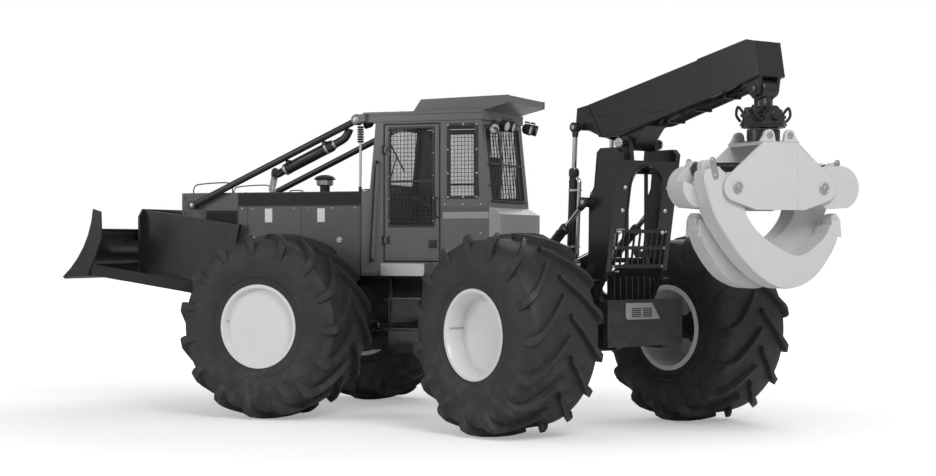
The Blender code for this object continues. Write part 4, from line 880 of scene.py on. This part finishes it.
STRIPE = 2.236
for hand, side in HANDS:
    seams = Piece(f"panel_seams_{hand}", "front_chassis")
    for x in (1.70, 2.36):
        seams.block((x - 0.0025, x + 0.0025), side_span(side, 0.557, 0.5612), (1.49, STRIPE - 0.01))
    seams.block((0.99, 2.47), side_span(side, 0.557, 0.5606), (STRIPE - 0.006, STRIPE))
    for x in (2.005, 1.03):
        seams.block((x - 0.035, x + 0.035), side_span(side, 0.557, 0.5612), (1.60, 1.604))
    seams.made(PLASTIC, bevel=0)
    plates = Piece(f"blank_plates_{hand}", "front_chassis")
    for x in (2.10, 1.46):
        plates.block((x - 0.045, x + 0.045), side_span(side, 0.5595, 0.5625), (2.055, 2.205))
    plates.made(LABEL, bevel=0.0008)
    latch = Piece(f"panel_latches_{hand}", "front_chassis")
    for x, z in ((1.24, 1.86), (2.28, 1.86)):
        latch.lathe((x, side * 0.559, z), (x, side * 2, z),
                    [(0.036, 0), (0.036, 0.004), (0.028, 0.007), (0.024, 0.003), (0.001, 0.003)], 32)
        latch.block((x - 0.020, x + 0.020), side_span(side, 0.560, 0.568), (z - 0.006, z + 0.006))
    for x in (1.05, 1.33, 1.61, 1.79, 2.07, 2.30, 2.43):
        latch.bolt((x, side * 0.5605, STRIPE - 0.03), (0, side, 0), 0.0075, 0.006)
        latch.bolt((x, side * 0.5605, 1.515), (0, side, 0), 0.0075, 0.006)
    latch.made(STEEL, bevel=0)
    stripe = Piece(f"hood_stripe_{hand}", "front_chassis")
    stripe.block((0.99, 2.468), side_span(side, 0.559, 0.5612), (2.243, 2.372))
    stripe.made(DARK, bevel=0)
    louvre = Piece(f"radiator_louvres_{hand}", "front_chassis")
    for low, high in ((2.50, 2.60), (2.625, 2.735), (2.76, 2.87)):
        for step in range(24):
            z = 1.60 + step * 0.024
            louvre.plate("X", (low, high), [(side * 0.5595, z), (side * 0.5715, z),
                                            (side * 0.5635, z + 0.013), (side * 0.5595, z + 0.016)])
        frame_ring(louvre, (low - 0.003, high + 0.003), (1.592, 2.182), 0.007,
                   side_span(side, 0.5590, 0.5680))
    louvre.made(MESH_STEEL, bevel=0)
    # A near-black sheet on the solid panel behind the louvres: painted shade standing in for the dark
    # openings.
    dark = Piece(f"radiator_backing_{hand}", "front_chassis")
    for low, high in ((2.50, 2.60), (2.625, 2.735), (2.76, 2.87)):
        dark.block((low, high), side_span(side, 0.5590, 0.5606), (1.592, 2.182))
    dark.made(HOSE, bevel=0)
    edge = Piece(f"radiator_trim_{hand}", "front_chassis")
    edge.block((2.90, 2.906), side_span(side, 0.557, 0.5612), (1.50, 2.37))
    for z in (1.56, 1.76, 1.96, 2.16, 2.33):
        for x in (2.93, 3.15):
            edge.bolt((x, side * 0.5605, z), (0, side, 0), 0.009, 0.007)
    edge.made(BLACK, bevel=0)
    rail = Piece(f"hood_rail_{hand}", "front_chassis")
    rail.tube([(3.10, side * 0.46, 2.383), (3.09, side * 0.46, 2.45), (3.02, side * 0.46, 2.485),
               (2.70, side * 0.46, 2.50), (2.62, side * 0.46, 2.47), (2.60, side * 0.46, 2.383)], 0.007, 10)
    rail.made(BLACK, bevel=0)
    foot, head = Vector((3.01, side * 0.625, 2.25)), Vector((1.003, side * 0.60, 3.15))
    run = (head - foot).normalized()
    riser = Piece(f"limb_riser_{hand}_fine", "front_chassis")
    riser.lathe(foot + run * 0.02, head, [(0.026, 0), (0.034, 0.02), (0.036, 0.05),
                                          (0.036, (head - foot).length - 0.09),
                                          (0.030, (head - foot).length - 0.05)], 32)
    riser.lathe(foot - Vector((0, side * 0.037, 0)), foot + Vector((0, side, 0)),
                [(0.024, 0), (0.045, 0), (0.045, 0.074), (0.024, 0.074)], 32)
    riser.lathe(head - Vector((0, side * 0.034, 0)), head + Vector((0, side, 0)),
                [(0.028, 0), (0.060, 0), (0.060, 0.068), (0.028, 0.068)], 32)
    riser.made(BLACK, bevel=0.002, replaces=(f"limb_riser_{hand}",))
    pins = Piece(f"limb_riser_pins_{hand}", "front_chassis")
    pins.bolt(foot + Vector((0, side * 0.036, 0)), (0, side, 0), 0.018, 0.014)
    pins.bolt(head + Vector((0, side * 0.056, 0)), (0, side, 0), 0.022, 0.014)
    pins.made(STEEL, bevel=0)
top = Piece("hood_top_details", "front_chassis")
top.block((1.72, 1.728), (-0.545, 0.545), (2.384, 2.387))
for x in (1.02, 2.44):
    for y in (-0.45, -0.15, 0.15, 0.45):
        top.bolt((x, y, 2.385), (0, 0, 1), 0.009, 0.008)
for x in (1.30, 2.20):
    top.tube([(x - 0.08, -0.3, 2.384), (x - 0.07, -0.3, 2.425), (x + 0.07, -0.3, 2.425),
              (x + 0.08, -0.3, 2.384)], 0.007, 10)
top.made(BLACK, bevel=0.001)
grille = Piece("radiator_grille", "front_chassis")
for step in range(1, 22):
    z = 1.60 + 0.705 * step / 22
    grille.block((3.176, 3.182), (-0.475, 0.475), (z - 0.004, z + 0.004))
for step in range(1, 30):
    y = -0.475 + 0.95 * step / 30
    grille.block((3.181, 3.186), (y - 0.003, y + 0.003), (1.605, 2.30))
grille.made(MESH_STEEL, bevel=0)


def under_riser(x, drop=0.115):
    return Vector((x, 0.53, 2.25 - 0.448430 * (x - 3.01) - drop))


flex = Piece("exhaust_flex", "front_chassis")
start, end = Vector((2.13, 0.43, 2.400)), Vector((2.07, 0.46, 2.585))
reach = (end - start).length
wave = [(0.040 if step % 2 else 0.034, reach * step / 28) for step in range(29)]
flex.lathe(start, end, wave, 28)
flex.made(SILVER, bevel=0, replaces=("exhaust",))
elbow = Piece("exhaust_elbow", "front_chassis")
elbow.tube([end - (end - start).normalized() * 0.02, end + Vector((-0.003, 0.005, 0.03)),
            under_riser(2.01) + Vector((0.02, -0.03, 0)), under_riser(1.93), under_riser(1.90)], 0.043, 24,
           6)
elbow.made(BLACK, bevel=0)
body = Piece("exhaust_muffler", "front_chassis")
first, last = under_riser(1.925), under_riser(1.315)
long = (last - first).length
body.lathe(first, last, [(0.044, 0), (0.056, 0.012), (0.0625, 0.028), (0.0625, long - 0.028),
                         (0.056, long - 0.012), (0.045, long)], 40)
for share in (0.09, 0.91):
    body.lathe(first.lerp(last, share), last,
               [(0.0625, -0.004), (0.065, 0.0), (0.065, 0.012), (0.0625, 0.016)], 40)
body.made(BLACK, bevel=0)
tail = Piece("exhaust_tail", "front_chassis")
tail.tube([under_riser(1.33), under_riser(1.26), under_riser(1.19) + Vector((0, 0, 0.01)),
           under_riser(1.150) + Vector((0, 0, 0.05)), under_riser(1.135) + Vector((0, 0, 0.085))], 0.044,
          24, 6)
tail.made(BLACK, bevel=0)
clamp = Piece("exhaust_clamps", "front_chassis")
for x, radius in ((1.40, 0.066), (1.305, 0.049), (1.895, 0.066)):
    clamp.lathe(under_riser(x + 0.012), under_riser(x - 0.1),
                [(radius - 0.004, 0), (radius, 0), (radius, 0.024), (radius - 0.004, 0.024)], 40,
                open_ring=True)
    clamp.bolt(under_riser(x) + Vector((0, radius + 0.001, 0)), (0, 1, 0), 0.009, 0.014)
clamp.made(SILVER, bevel=0)
brace = Piece("exhaust_brackets", "front_chassis")
for x in (1.86, 1.42):
    spot = under_riser(x, 0.0)
    brace.block((spot.x - 0.02, spot.x + 0.02), (0.525, 0.585), (spot.z - 0.068, spot.z - 0.030))
brace.made(BLACK, bevel=0.002)


# ---------------------------------------------------------------- rear frame, arch and boom

FACE_OUT = Vector((-1, 0, -1 / 6)).normalized()


def rear_face(z, y=0.0, out=0.0):
    """A point on the arch's sloped rear face."""
    return Vector((-2.66 - (z - 1.56) / 6, y, z)) + FACE_OUT * out


trim = Piece("arch_bolts", "arch", REAR)
for z in (1.93, 2.14, 2.36):
    for y in (-0.285, 0.285):
        trim.bolt(rear_face(z, y, 0.001), FACE_OUT, 0.016, 0.016)
trim.made(SILVER, bevel=0)
trim = Piece("arch_window_lip", "arch", REAR)
lip = [*[(0.218, z) for z in (1.97, 2.1, 2.25)], *arc((0, 2.36), 0.218, 0, 180, 12),
       *[(-0.218, z) for z in (2.25, 2.1, 1.97)]]
trim.tube([rear_face(z, y, 0.004) for y, z in lip], 0.010, 10, 3)
for y in (-0.13, 0.13):
    trim.rod((-2.655, y, 1.62), (-2.655, y, 2.505), 0.020, 20)
trim.rod((-2.50, -0.355, 1.66), (-2.50, 0.355, 1.66), 0.024, 20)
trim.made(BLACK, bevel=0.001)
for hand, side in HANDS:
    trim = Piece(f"arch_side_{hand}", "arch", REAR)
    for line in ([(-2.02, 1.60), (-2.42, 1.735)],
                 [(-2.43, 1.74), (-2.43, 2.25), (-2.50, 2.37), (-2.54, 2.69)]):
        trim.tube([(x, side * 0.411, z) for x, z in line], 0.006, 8, 3)
    trim.rod((-2.56, side * 0.30, 1.47), (-2.56, side * 0.53, 1.47), 0.015, 16)
    trim.lathe((-2.40, side * 0.432, 1.34), (-2.40, side * 2, 1.34),
               [(0.075, 0), (0.075, 0.010), (0.055, 0.016), (0.001, 0.016)], 36)
    trim.block((-2.44, -2.36), side_span(side, 0.446, 0.456), (1.375, 1.405))
    trim.made(BLACK, bevel=0.002)
    bolts = Piece(f"arch_side_bolts_{hand}", "arch", REAR)
    for step in range(6):
        angle = math.tau * step / 6
        bolts.bolt((-2.40 + 0.062 * math.cos(angle), side * 0.442, 1.34 + 0.062 * math.sin(angle)),
                   (0, side, 0), 0.008, 0.008)
    bolts.made(STEEL, bevel=0)
    box = Piece(f"arch_lamp_{hand}", "arch", REAR)
    centre = Vector((-2.27, side * 0.50, 1.60))
    aim = Vector((-0.88, side * 0.25, -0.40)).normalized()
    across = aim.cross(Vector((0, 0, 1))).normalized()
    lift = across.cross(aim)
    for near, far, wide in ((-0.05, 0.045, 0.070), (0.045, 0.052, 0.076)):
        rings = []
        for run in (near, far):
            rings.append([centre + aim * run + across * a * wide + lift * b * wide * 0.9
                          for a, b in ((-1, -1), (1, -1), (1, 1), (-1, 1))])
        box.grow(rings)
    box.rod(centre - aim * 0.03, (-2.24, side * 0.405, 1.625), 0.012, 12)
    box.made(PLASTIC, bevel=0.004)
    pane = Piece(f"arch_lamp_glass_{hand}", "arch", REAR)
    pane.grow([[centre + aim * run + across * a * 0.060 + lift * b * 0.054
                for a, b in ((-1, -1), (1, -1), (1, 1), (-1, 1))] for run in (0.052, 0.055)])
    pane.made(LENS, bevel=0.001)
    pipe = Piece(f"boom_cylinder_pipe_{hand}", f"boom_cylinder_{hand}_barrel", REAR)
    base, eye = Vector((-1.98, side * 0.25, 1.50)), Vector((-2.05, side * 0.25, 2.97))
    run = (eye - base).normalized()
    aside = Vector((-1, 0, 0))
    pipe.tube([base + run * 0.18 + aside * 0.045, base + run * 0.21 + aside * 0.082,
               base + run * 0.30 + aside * 0.082, base + run * 0.85 + aside * 0.082,
               base + run * 0.93 + aside * 0.082, base + run * 0.97 + aside * 0.047], 0.021, 18, 6)
    pipe.made(STEEL, bevel=0)
    ring = Piece(f"boom_cylinder_ring_{hand}", f"boom_cylinder_{hand}_barrel", REAR)
    for share in (0.28, 0.84):
        spot = base + run * share
        ring.lathe(spot, spot + run, [(0.046, 0), (0.0495, 0), (0.0495, 0.022), (0.046, 0.022)], 36,
                   open_ring=True)
        ring.block((spot.x - 0.108, spot.x - 0.04), (spot.y - 0.014, spot.y + 0.014),
                   (spot.z + 0.002, spot.z + 0.020))
    ring.made(SILVER, bevel=0.001)
slide = Piece("winch_guard_bolts", "arch", REAR)
for z in (1.60, 1.78, 1.94):
    for y in (-0.325, 0.325):
        slide.bolt(rear_face(z, y, 0.007), FACE_OUT, 0.010, 0.009)
slide.made(STEEL, bevel=0)

plate = Piece("fairlead_panel", "rear_chassis", REAR)
plate.plate("X", (-2.790, -2.7805), [(0.27, 1.25), (-0.08, 1.25), (-0.19, 1.09), (0.25, 1.09), (0.27, 1.12)])
plate.made(COWL, bevel=0.002)
grid = Piece("fairlead_grid", "rear_chassis", REAR)
for left in (0.07, -0.08):
    for row in range(5):
        for column in range(5):
            y, z = left + 0.025 * column + 0.004, 1.112 + 0.019 * row
            grid.block((-2.7915, -2.789), (y, y + 0.019), (z, z + 0.013))
grid.made(HOSE, bevel=0)
edge = Piece("butt_plate_trim", "rear_chassis", REAR)
for y in (-0.45, 0.45):
    for z in (0.88, 1.05, 1.22):
        edge.bolt((-2.780, y, z), (-1, 0, 0), 0.014, 0.012)
edge.tube([(-2.782, -0.498, 1.276), (-2.782, 0.498, 1.276)], 0.006, 8, 1)
edge.block((-2.784, -2.7795), (-0.50, 0.50), (0.83, 0.90))
edge.made(CHASSIS, bevel=0.002)
rope = Piece("winch_rope", "rear_chassis", REAR)
turns = 16
wound = [(0.102, -0.185)]
for step in range(turns):
    y = -0.185 + 0.37 * (step + 0.5) / turns
    wound += [(0.116, y - 0.009), (0.128, y), (0.116, y + 0.009)]
rope.lathe((-1.70, 0, 1.34), (-1.70, 1, 1.34), wound + [(0.102, 0.185)], 40)
rope.made(STEEL, bevel=0)
gear = Piece("winch_gear", "rear_chassis", REAR)
for side in (-1, 1):
    gear.lathe((-1.70, side * 0.235, 1.34), (-1.70, side * 2, 1.34),
               [(0.12, 0), (0.12, 0.022), (0.09, 0.03), (0.05, 0.045), (0.001, 0.045)], 36)
    for step in range(8):
        angle = math.tau * step / 8
        gear.bolt((-1.70 + 0.10 * math.cos(angle), side * 0.258, 1.34 + 0.10 * math.sin(angle)),
                  (0, side, 0), 0.009, 0.009)
gear.made(IRON, bevel=0.002)

for hand, side in HANDS:
    weld = Piece(f"boom_welds_{hand}", "boom", REAR)
    y = side * 0.1705
    for line in ([(-2.25, 3.10), (-2.36, 3.067), (-2.46, 3.083)],
                 [(-2.737, 3.233), (-2.826, 3.146), (-2.96, 3.083), (-3.09, 3.07), (-3.224, 3.09)],
                 [(-2.345, 2.872), (-2.95, 2.967), (-3.63, 3.127)]):
        weld.tube([(x, y, z) for x, z in line], 0.006, 8, 5)
    weld.plate("Y", side_span(side, 0.168, 0.182),
               [(-2.115, 3.178), (-2.145, 3.186), (-2.345, 2.866), (-2.315, 2.864)])
    weld.tube([(-3.638, side * 0.173, 3.515), (-3.80, side * 0.173, 3.17)], 0.005, 8, 1)
    weld.tube([(-3.80, side * 0.176, 3.166), (-4.395, side * 0.176, 3.334)], 0.005, 8, 1)
    weld.made(BLACK, bevel=0.0015)
    cap = Piece(f"boom_pin_caps_{hand}", "boom", REAR)
    cap.lathe((-2.69, side * 0.262, 2.79), (-2.69, side * 2, 2.79),
              [(0.046, 0), (0.050, 0.004), (0.050, 0.016), (0.044, 0.020), (0.001, 0.020)], 32)
    for step in range(3):
        angle = math.tau * step / 3 + 0.5
        cap.bolt((-2.69 + 0.024 * math.cos(angle), side * 0.282, 2.79 + 0.024 * math.sin(angle)),
                 (0, side, 0), 0.008, 0.008)
    cap.made(SILVER, bevel=0.0015)
    hoses = Piece(f"boom_hoses_{hand}", "boom", REAR)
    for near in (0.03, 0.065):
        y = side * near
        hoses.tube([(-2.03, y, 2.965), (-2.20, y, 2.90), (-2.40, y, 2.845), (-2.475, y, 2.85)], 0.012, 10, 5)
        hoses.tube([(-2.98, y, 2.955), (-3.10, y, 2.955), (-3.40, y, 3.035), (-3.75, y, 3.125),
                    (-4.02, y, 3.195), (-4.13, y, 3.20), (-4.18, y, 3.235), (-4.20, y, 3.285)], 0.012, 10,
                   5)
    hoses.made(HOSE, bevel=0)
clips = Piece("boom_hose_clips", "boom", REAR)
for x, z in ((-3.20, 2.968), (-3.55, 3.058), (-3.92, 3.155)):
    clips.bars([(x, -0.10, z), (x, 0.10, z)], 0.035, 0.010, up=(0, 0, 1))
    for y in (-0.10, 0.10):
        clips.block((x - 0.016, x + 0.016), (y - 0.006, y + 0.006), (z, z + 0.05))
clips.made(BLACK, bevel=0.001)

# ---------------------------------------------------------------- rotator and grapple

TIP_X, SWAY_HEIGHT, SWING_HEIGHT = -4.30, 2.98, 3.21
drum = Piece("crosshead_drum", "crosshead", REAR)
drum.lathe((TIP_X, -0.092, SWING_HEIGHT), (TIP_X, 1, SWING_HEIGHT),
           [(0.060, 0), (0.090, 0.004), (0.095, 0.012), (0.095, 0.172), (0.090, 0.180), (0.060, 0.184)], 40)
drum.lathe((TIP_X, 0, SWAY_HEIGHT + 0.065), (TIP_X, 0, 9),
           [(0.070, 0), (0.078, 0.01), (0.078, 0.05), (0.066, 0.09), (0.066, 0.15)], 32)
for side in (-1, 1):
    drum.lathe((TIP_X, side * 0.142, SWING_HEIGHT), (TIP_X, side * 2, SWING_HEIGHT),
               [(0.048, 0), (0.048, 0.010), (0.040, 0.014), (0.001, 0.014)], 28)
drum.made(BLACK, bevel=0.002)
motor = Piece("rotator_motor", "rotator", REAR)
motor.lathe((TIP_X, 0, 2.861), (TIP_X, 0, 9), [(0.175, 0), (0.196, 0.004), (0.196, 0.026), (0.205, 0.032),
                                               (0.205, 0.050), (0.180, 0.060), (0.150, 0.062)], 48)
for step in range(12):
    angle = math.tau * step / 12
    motor.bolt((TIP_X + 0.192 * math.cos(angle), 0.192 * math.sin(angle), 2.911), (0, 0, 1), 0.009, 0.009)
for side in (-1, 1):
    motor.lathe((TIP_X, side * 0.175, 2.885), (TIP_X, side * 0.175, 9),
                [(0.060, 0), (0.068, 0.006), (0.068, 0.075), (0.055, 0.082), (0.055, 0.150), (0.040, 0.160),
                 (0.001, 0.160)], 32)
    motor.block((TIP_X - 0.05, TIP_X + 0.05), side_span(side, 0.11, 0.25), (2.955, 2.985))
    for x in (-0.035, 0.035):
        motor.bolt((TIP_X + x, side * 0.232, 2.985), (0, 0, 1), 0.008, 0.012)
    cheek = [(-0.165, 2.885), (0.165, 2.885), *[(0.085 * math.cos(a) , SWAY_HEIGHT + 0.085 * math.sin(a))
                                               for a in [math.radians(20 + 20 * s) for s in range(8)]]]
    motor.plate("X", sorted((TIP_X + side * 0.132, TIP_X + side * 0.142)), cheek)
    motor.lathe((TIP_X + side * 0.140, 0, SWAY_HEIGHT), (TIP_X + side * 9, 0, SWAY_HEIGHT),
                [(0.050, 0), (0.050, 0.016), (0.040, 0.022), (0.001, 0.022)], 28)
motor.made(BLACK, bevel=0.002)
lines = Piece("rotator_hoses", "rotator", REAR)
for side in (-1, 1):
    for x in (-0.09, 0.09):
        lines.tube([(TIP_X + x * 0.6, side * 0.20, 2.99), (TIP_X + x, side * 0.235, 3.05),
                    (TIP_X + x * 1.3, side * 0.23, 2.98), (TIP_X + x * 1.4, side * 0.17, 2.925)], 0.013, 10,
                   6)
lines.made(HOSE, bevel=0)

PIN_Y, PIN_Z = 0.443, 2.318
neck = Piece("grapple_neck_cover", "grapple_frame", GRAB)
neck.lathe((0, 0, 2.7255), (0, 0, 9),
           [(0.141, 0), (0.165, 0.001), (0.165, 0.020), (0.150, 0.026), (0.150, 0.120), (0.141, 0.124)], 48)
neck.made(BLACK, bevel=0.001)
frame_caps = Piece("grapple_pin_caps", "grapple_frame", GRAB)
frame_bolts = Piece("grapple_pin_bolts", "grapple_frame", GRAB)
frame_trim = Piece("grapple_frame_trim", "grapple_frame", GRAB)
for end in (-1, 1):
    for side in (-1, 1):
        face = Vector((end * 0.3145, side * PIN_Y, PIN_Z))
        frame_caps.lathe(face, face + Vector((end, 0, 0)), [(0.041, 0), (0.046, 0.002), (0.046, 0.010),
                                                            (0.041, 0.014), (0.038, 0.009), (0.001, 0.009)],
                         36)
        frame_bolts.bolt(face + Vector((end * 0.008, -0.004, 0.004)), (end, 0, 0), 0.012, 0.010)
        lug_top = [(side * (0.105 + 0.052 * math.cos(a)), 2.785 + 0.052 * math.sin(a))
                   for a in [math.radians(160 - 20 * s) for s in range(9)]]
        lug = [(side * 0.04, 2.722), *lug_top, (side * 0.20, 2.722)]
        frame_trim.plate("X", sorted((end * 0.245, end * 0.285)), lug)
        spot = Vector((end * 0.285, side * 0.105, 2.785))
        frame_caps.lathe(spot, spot + Vector((end, 0, 0)), [(0.032, 0), (0.032, 0.006), (0.001, 0.008)], 28)
        for shift in (-0.013, 0.013):
            frame_bolts.bolt(spot + Vector((end * 0.006, shift, -shift)), (end, 0, 0), 0.006, 0.006)
    frame_trim.tube([(end * 0.3005, -0.17, 2.70), (end * 0.3005, -0.175, 2.135)], 0.005, 8, 1)
    for side in (-1, 1):
        frame_trim.tube([(end * 0.3005, side * 0.185, 2.705), (end * 0.3005, side * 0.30, 2.60)], 0.004, 8, 1)
frame_trim.block((-0.305, 0.305), (-0.195, 0.195), (2.7245, 2.7305))
frame_trim.made(PALE, bevel=0.002)
frame_caps.made(STEEL, bevel=0.0008)
frame_bolts.made(SILVER, bevel=0)

OUTER = [(0.60, 2.50), (0.75, 2.44), (0.70, 2.20), (0.593, 1.973), (0.309, 1.622), (-0.03, 1.42),
         (-0.344, 1.501), (-0.56, 1.75), (-0.654, 1.986)]
INNER = [(-0.538, 1.986), (-0.485, 1.881), (-0.309, 1.744), (-0.149, 1.722), (0.134, 1.866), (0.309, 2.048),
         (0.36, 2.24)]
for hand, side in HANDS:
    body = "tong_" + hand

    def faced(outline):
        return [(side * y, z) for y, z in outline]

    bend = [(p.x, p.y) for p in smooth([(y, z, 0) for y, z in OUTER], 6)]
    back = [(p.x, p.y) for p in smooth([(y, z, 0) for y, z in INNER], 6)]
    jaw = Piece(f"{body}_jaw", body, GRAB)
    edge = 0.258
    jaw.plate("X", sorted((-side * edge, -side * 0.068)), faced(bend + back))
    low = [(y, z) for y, z in bend if z < 2.41] + [(y, z) for y, z in back if z < 2.41]
    jaw.plate("X", sorted((-side * 0.068, -side * 0.02)), faced(low))
    round_hub = [(0.42, 2.20), (0.50, 2.13)] + arc((0.648, 2.325), 0.198, -66, 98, 16) + [(0.52, 2.515),
                                                                                          (0.42, 2.44)]
    jaw.plate("X", sorted((side * edge, side * 0.068)), faced(round_hub))
    jaw.plate("X", sorted((-side * 0.05, side * 0.068)), faced([(y, z) for y, z in round_hub if z < 2.41]))
    jaw.lathe((-0.261, side * PIN_Y, PIN_Z), (1, side * PIN_Y, PIN_Z),
              [(0.052, 0), (0.130, 0), (0.138, 0.006), (0.138, 0.516), (0.130, 0.522), (0.052, 0.522)], 48,
              open_ring=True)
    for near, far in ((-0.16, -0.068), (0.068, 0.16)):
        jaw.plate("X", (near, far), faced([(0.40, 2.40), (0.50, 2.22), (0.72, 2.45),
                                           *arc((0.66, 2.50), 0.062, -20, 150, 10)]))
    jaw.made(PALE, bevel=0.005, replaces=(body,), segments=2, angle=40)
    tip = Piece(f"{body}_tip", body, GRAB)
    tip.plate("X", sorted((-side * 0.215, -side * 0.065)),
              faced([(-0.646, 1.93), (-0.556, 1.93), (-0.585, 2.075), (-0.632, 2.095), (-0.664, 2.05)]))
    for near, far in ((0.245, 0.259), (0.019, 0.033)):
        tip.plate("X", sorted((-side * near, -side * far)),
                  faced([(-0.658, 1.88), (-0.535, 1.90), (-0.560, 2.03), (-0.645, 2.04)]))
    tip.made(PALE, bevel=0.003)
    bead = Piece(f"{body}_beads", body, GRAB)
    for place in (0.259, 0.019):
        bead.tube([(-side * place, side * (y * 0.985), z + 0.004) for y, z in bend[8:-3:3]], 0.0035, 6, 2)
    bead.made(PALE, bevel=0)
    keep = Piece(f"{body}_keeper", body, GRAB)
    for end in (-1, 1):
        face = Vector((end * 0.162, side * 0.66, 2.50))
        if end == -side:
            face.x = end * 0.259
        slot_line = [face + Vector((0, side * 0.012, 0.055)), face + Vector((0, -side * 0.022, -0.085))]
        long = (slot_line[1] - slot_line[0]).normalized()
        wide = long.cross(Vector((1, 0, 0)))
        outline = []
        for spot, start in ((slot_line[0], 0), (slot_line[1], 180)):
            for s in range(7):
                angle = math.radians(start + 30 * s)
                outline.append(spot - long * 0.028 * math.sin(angle) + wide * 0.028 * math.cos(angle))
        keep.grow([outline, [p + Vector((end * 0.010, 0, 0)) for p in outline]])
        for spot in slot_line:
            keep.bolt(spot + Vector((end * 0.010, 0, 0)), (end, 0, 0), 0.012, 0.010)
    keep.made(STEEL, bevel=0.001)

# ---------------------------------------------------------------- studio

floor_shape = bmesh.new()
bmesh.ops.create_grid(floor_shape, x_segments=1, y_segments=1, size=60)
floor_mesh = bpy.data.meshes.new("floor")
floor_shape.to_mesh(floor_mesh)
floor_shape.free()
floor_mesh.transform(Matrix.Translation((0, 0, -0.001)))
floor = bpy.data.objects.new("floor", floor_mesh)
bpy.context.scene.collection.objects.link(floor)
paper = Nodes("floor_paper")
paper.shader.inputs["Roughness"].default_value = 0.9
paper.shader.inputs["Specular IOR Level"].default_value = 0.1
paper.join(paper.mixed(paper.ranged(paper.noise(0.3), 0.3, 0.7, 0.0, 1.0), grey(0.86), grey(0.88)),
           paper.shader.inputs["Base Color"])
far = paper.put("ShaderNodeVectorMath", operation="LENGTH")
paper.join(paper.place, far.inputs[0])
seen_floor = paper.put("ShaderNodeLightPath").outputs["Is Camera Ray"]
glow = paper.ranged(far.outputs["Value"], 4.0, 15.0, 0.34, 1.0)
paper.join(paper.math("MULTIPLY", glow, seen_floor), paper.shader.inputs["Emission Strength"])
paper.shader.inputs["Emission Color"].default_value = (1, 1, 1, 1)
floor_mesh.materials.append(paper.made)

world = bpy.data.worlds.new("studio")
bpy.context.scene.world = world
world.use_nodes = True
tree = world.node_tree
sky = tree.nodes["Background"]
sky.inputs["Color"].default_value = (1, 1, 1, 1)
ray = tree.nodes.new("ShaderNodeLightPath")
seen = tree.nodes.new("ShaderNodeMapRange")
seen.inputs["To Min"].default_value = 0.38
seen.inputs["To Max"].default_value = 1.0
tree.links.new(ray.outputs["Is Camera Ray"], seen.inputs["Value"])
tree.links.new(seen.outputs["Result"], sky.inputs["Strength"])


def lamp(name, at, aim, size, power):
    data = bpy.data.lights.new(name, "AREA")
    data.shape, data.size, data.size_y, data.energy = "RECTANGLE", size[0], size[1], power
    made = bpy.data.objects.new(name, data)
    bpy.context.scene.collection.objects.link(made)
    made.location = at
    made.rotation_euler = (Vector(aim) - Vector(at)).to_track_quat("-Z", "Y").to_euler()


lamp("key", (-9, 10, 10), (0, 0, 1.2), (7, 5), 1000)
lamp("fill", (9, 11, 6), (0, 0, 1.2), (7, 5), 360)
lamp("back", (0, -11, 8), (0, 0, 1.5), (9, 4), 420)

camera_data = bpy.data.cameras.new("camera")
camera_data.sensor_width = 36.0
camera_data.lens = 72.1
camera = bpy.data.objects.new("camera", camera_data)
bpy.context.scene.collection.objects.link(camera)
CAMERA_AT = FRONT @ Vector((-7.596, 18.820, 1.815))
camera.location = CAMERA_AT
LOOK = Vector((0.373, -0.928, 0.0)).normalized() + Vector((0, 0, math.tan(math.radians(0.19))))
camera.rotation_euler = LOOK.to_track_quat("-Z", "Y").to_euler()
bpy.context.scene.camera = camera

bpy.context.scene.view_settings.view_transform = "Standard"
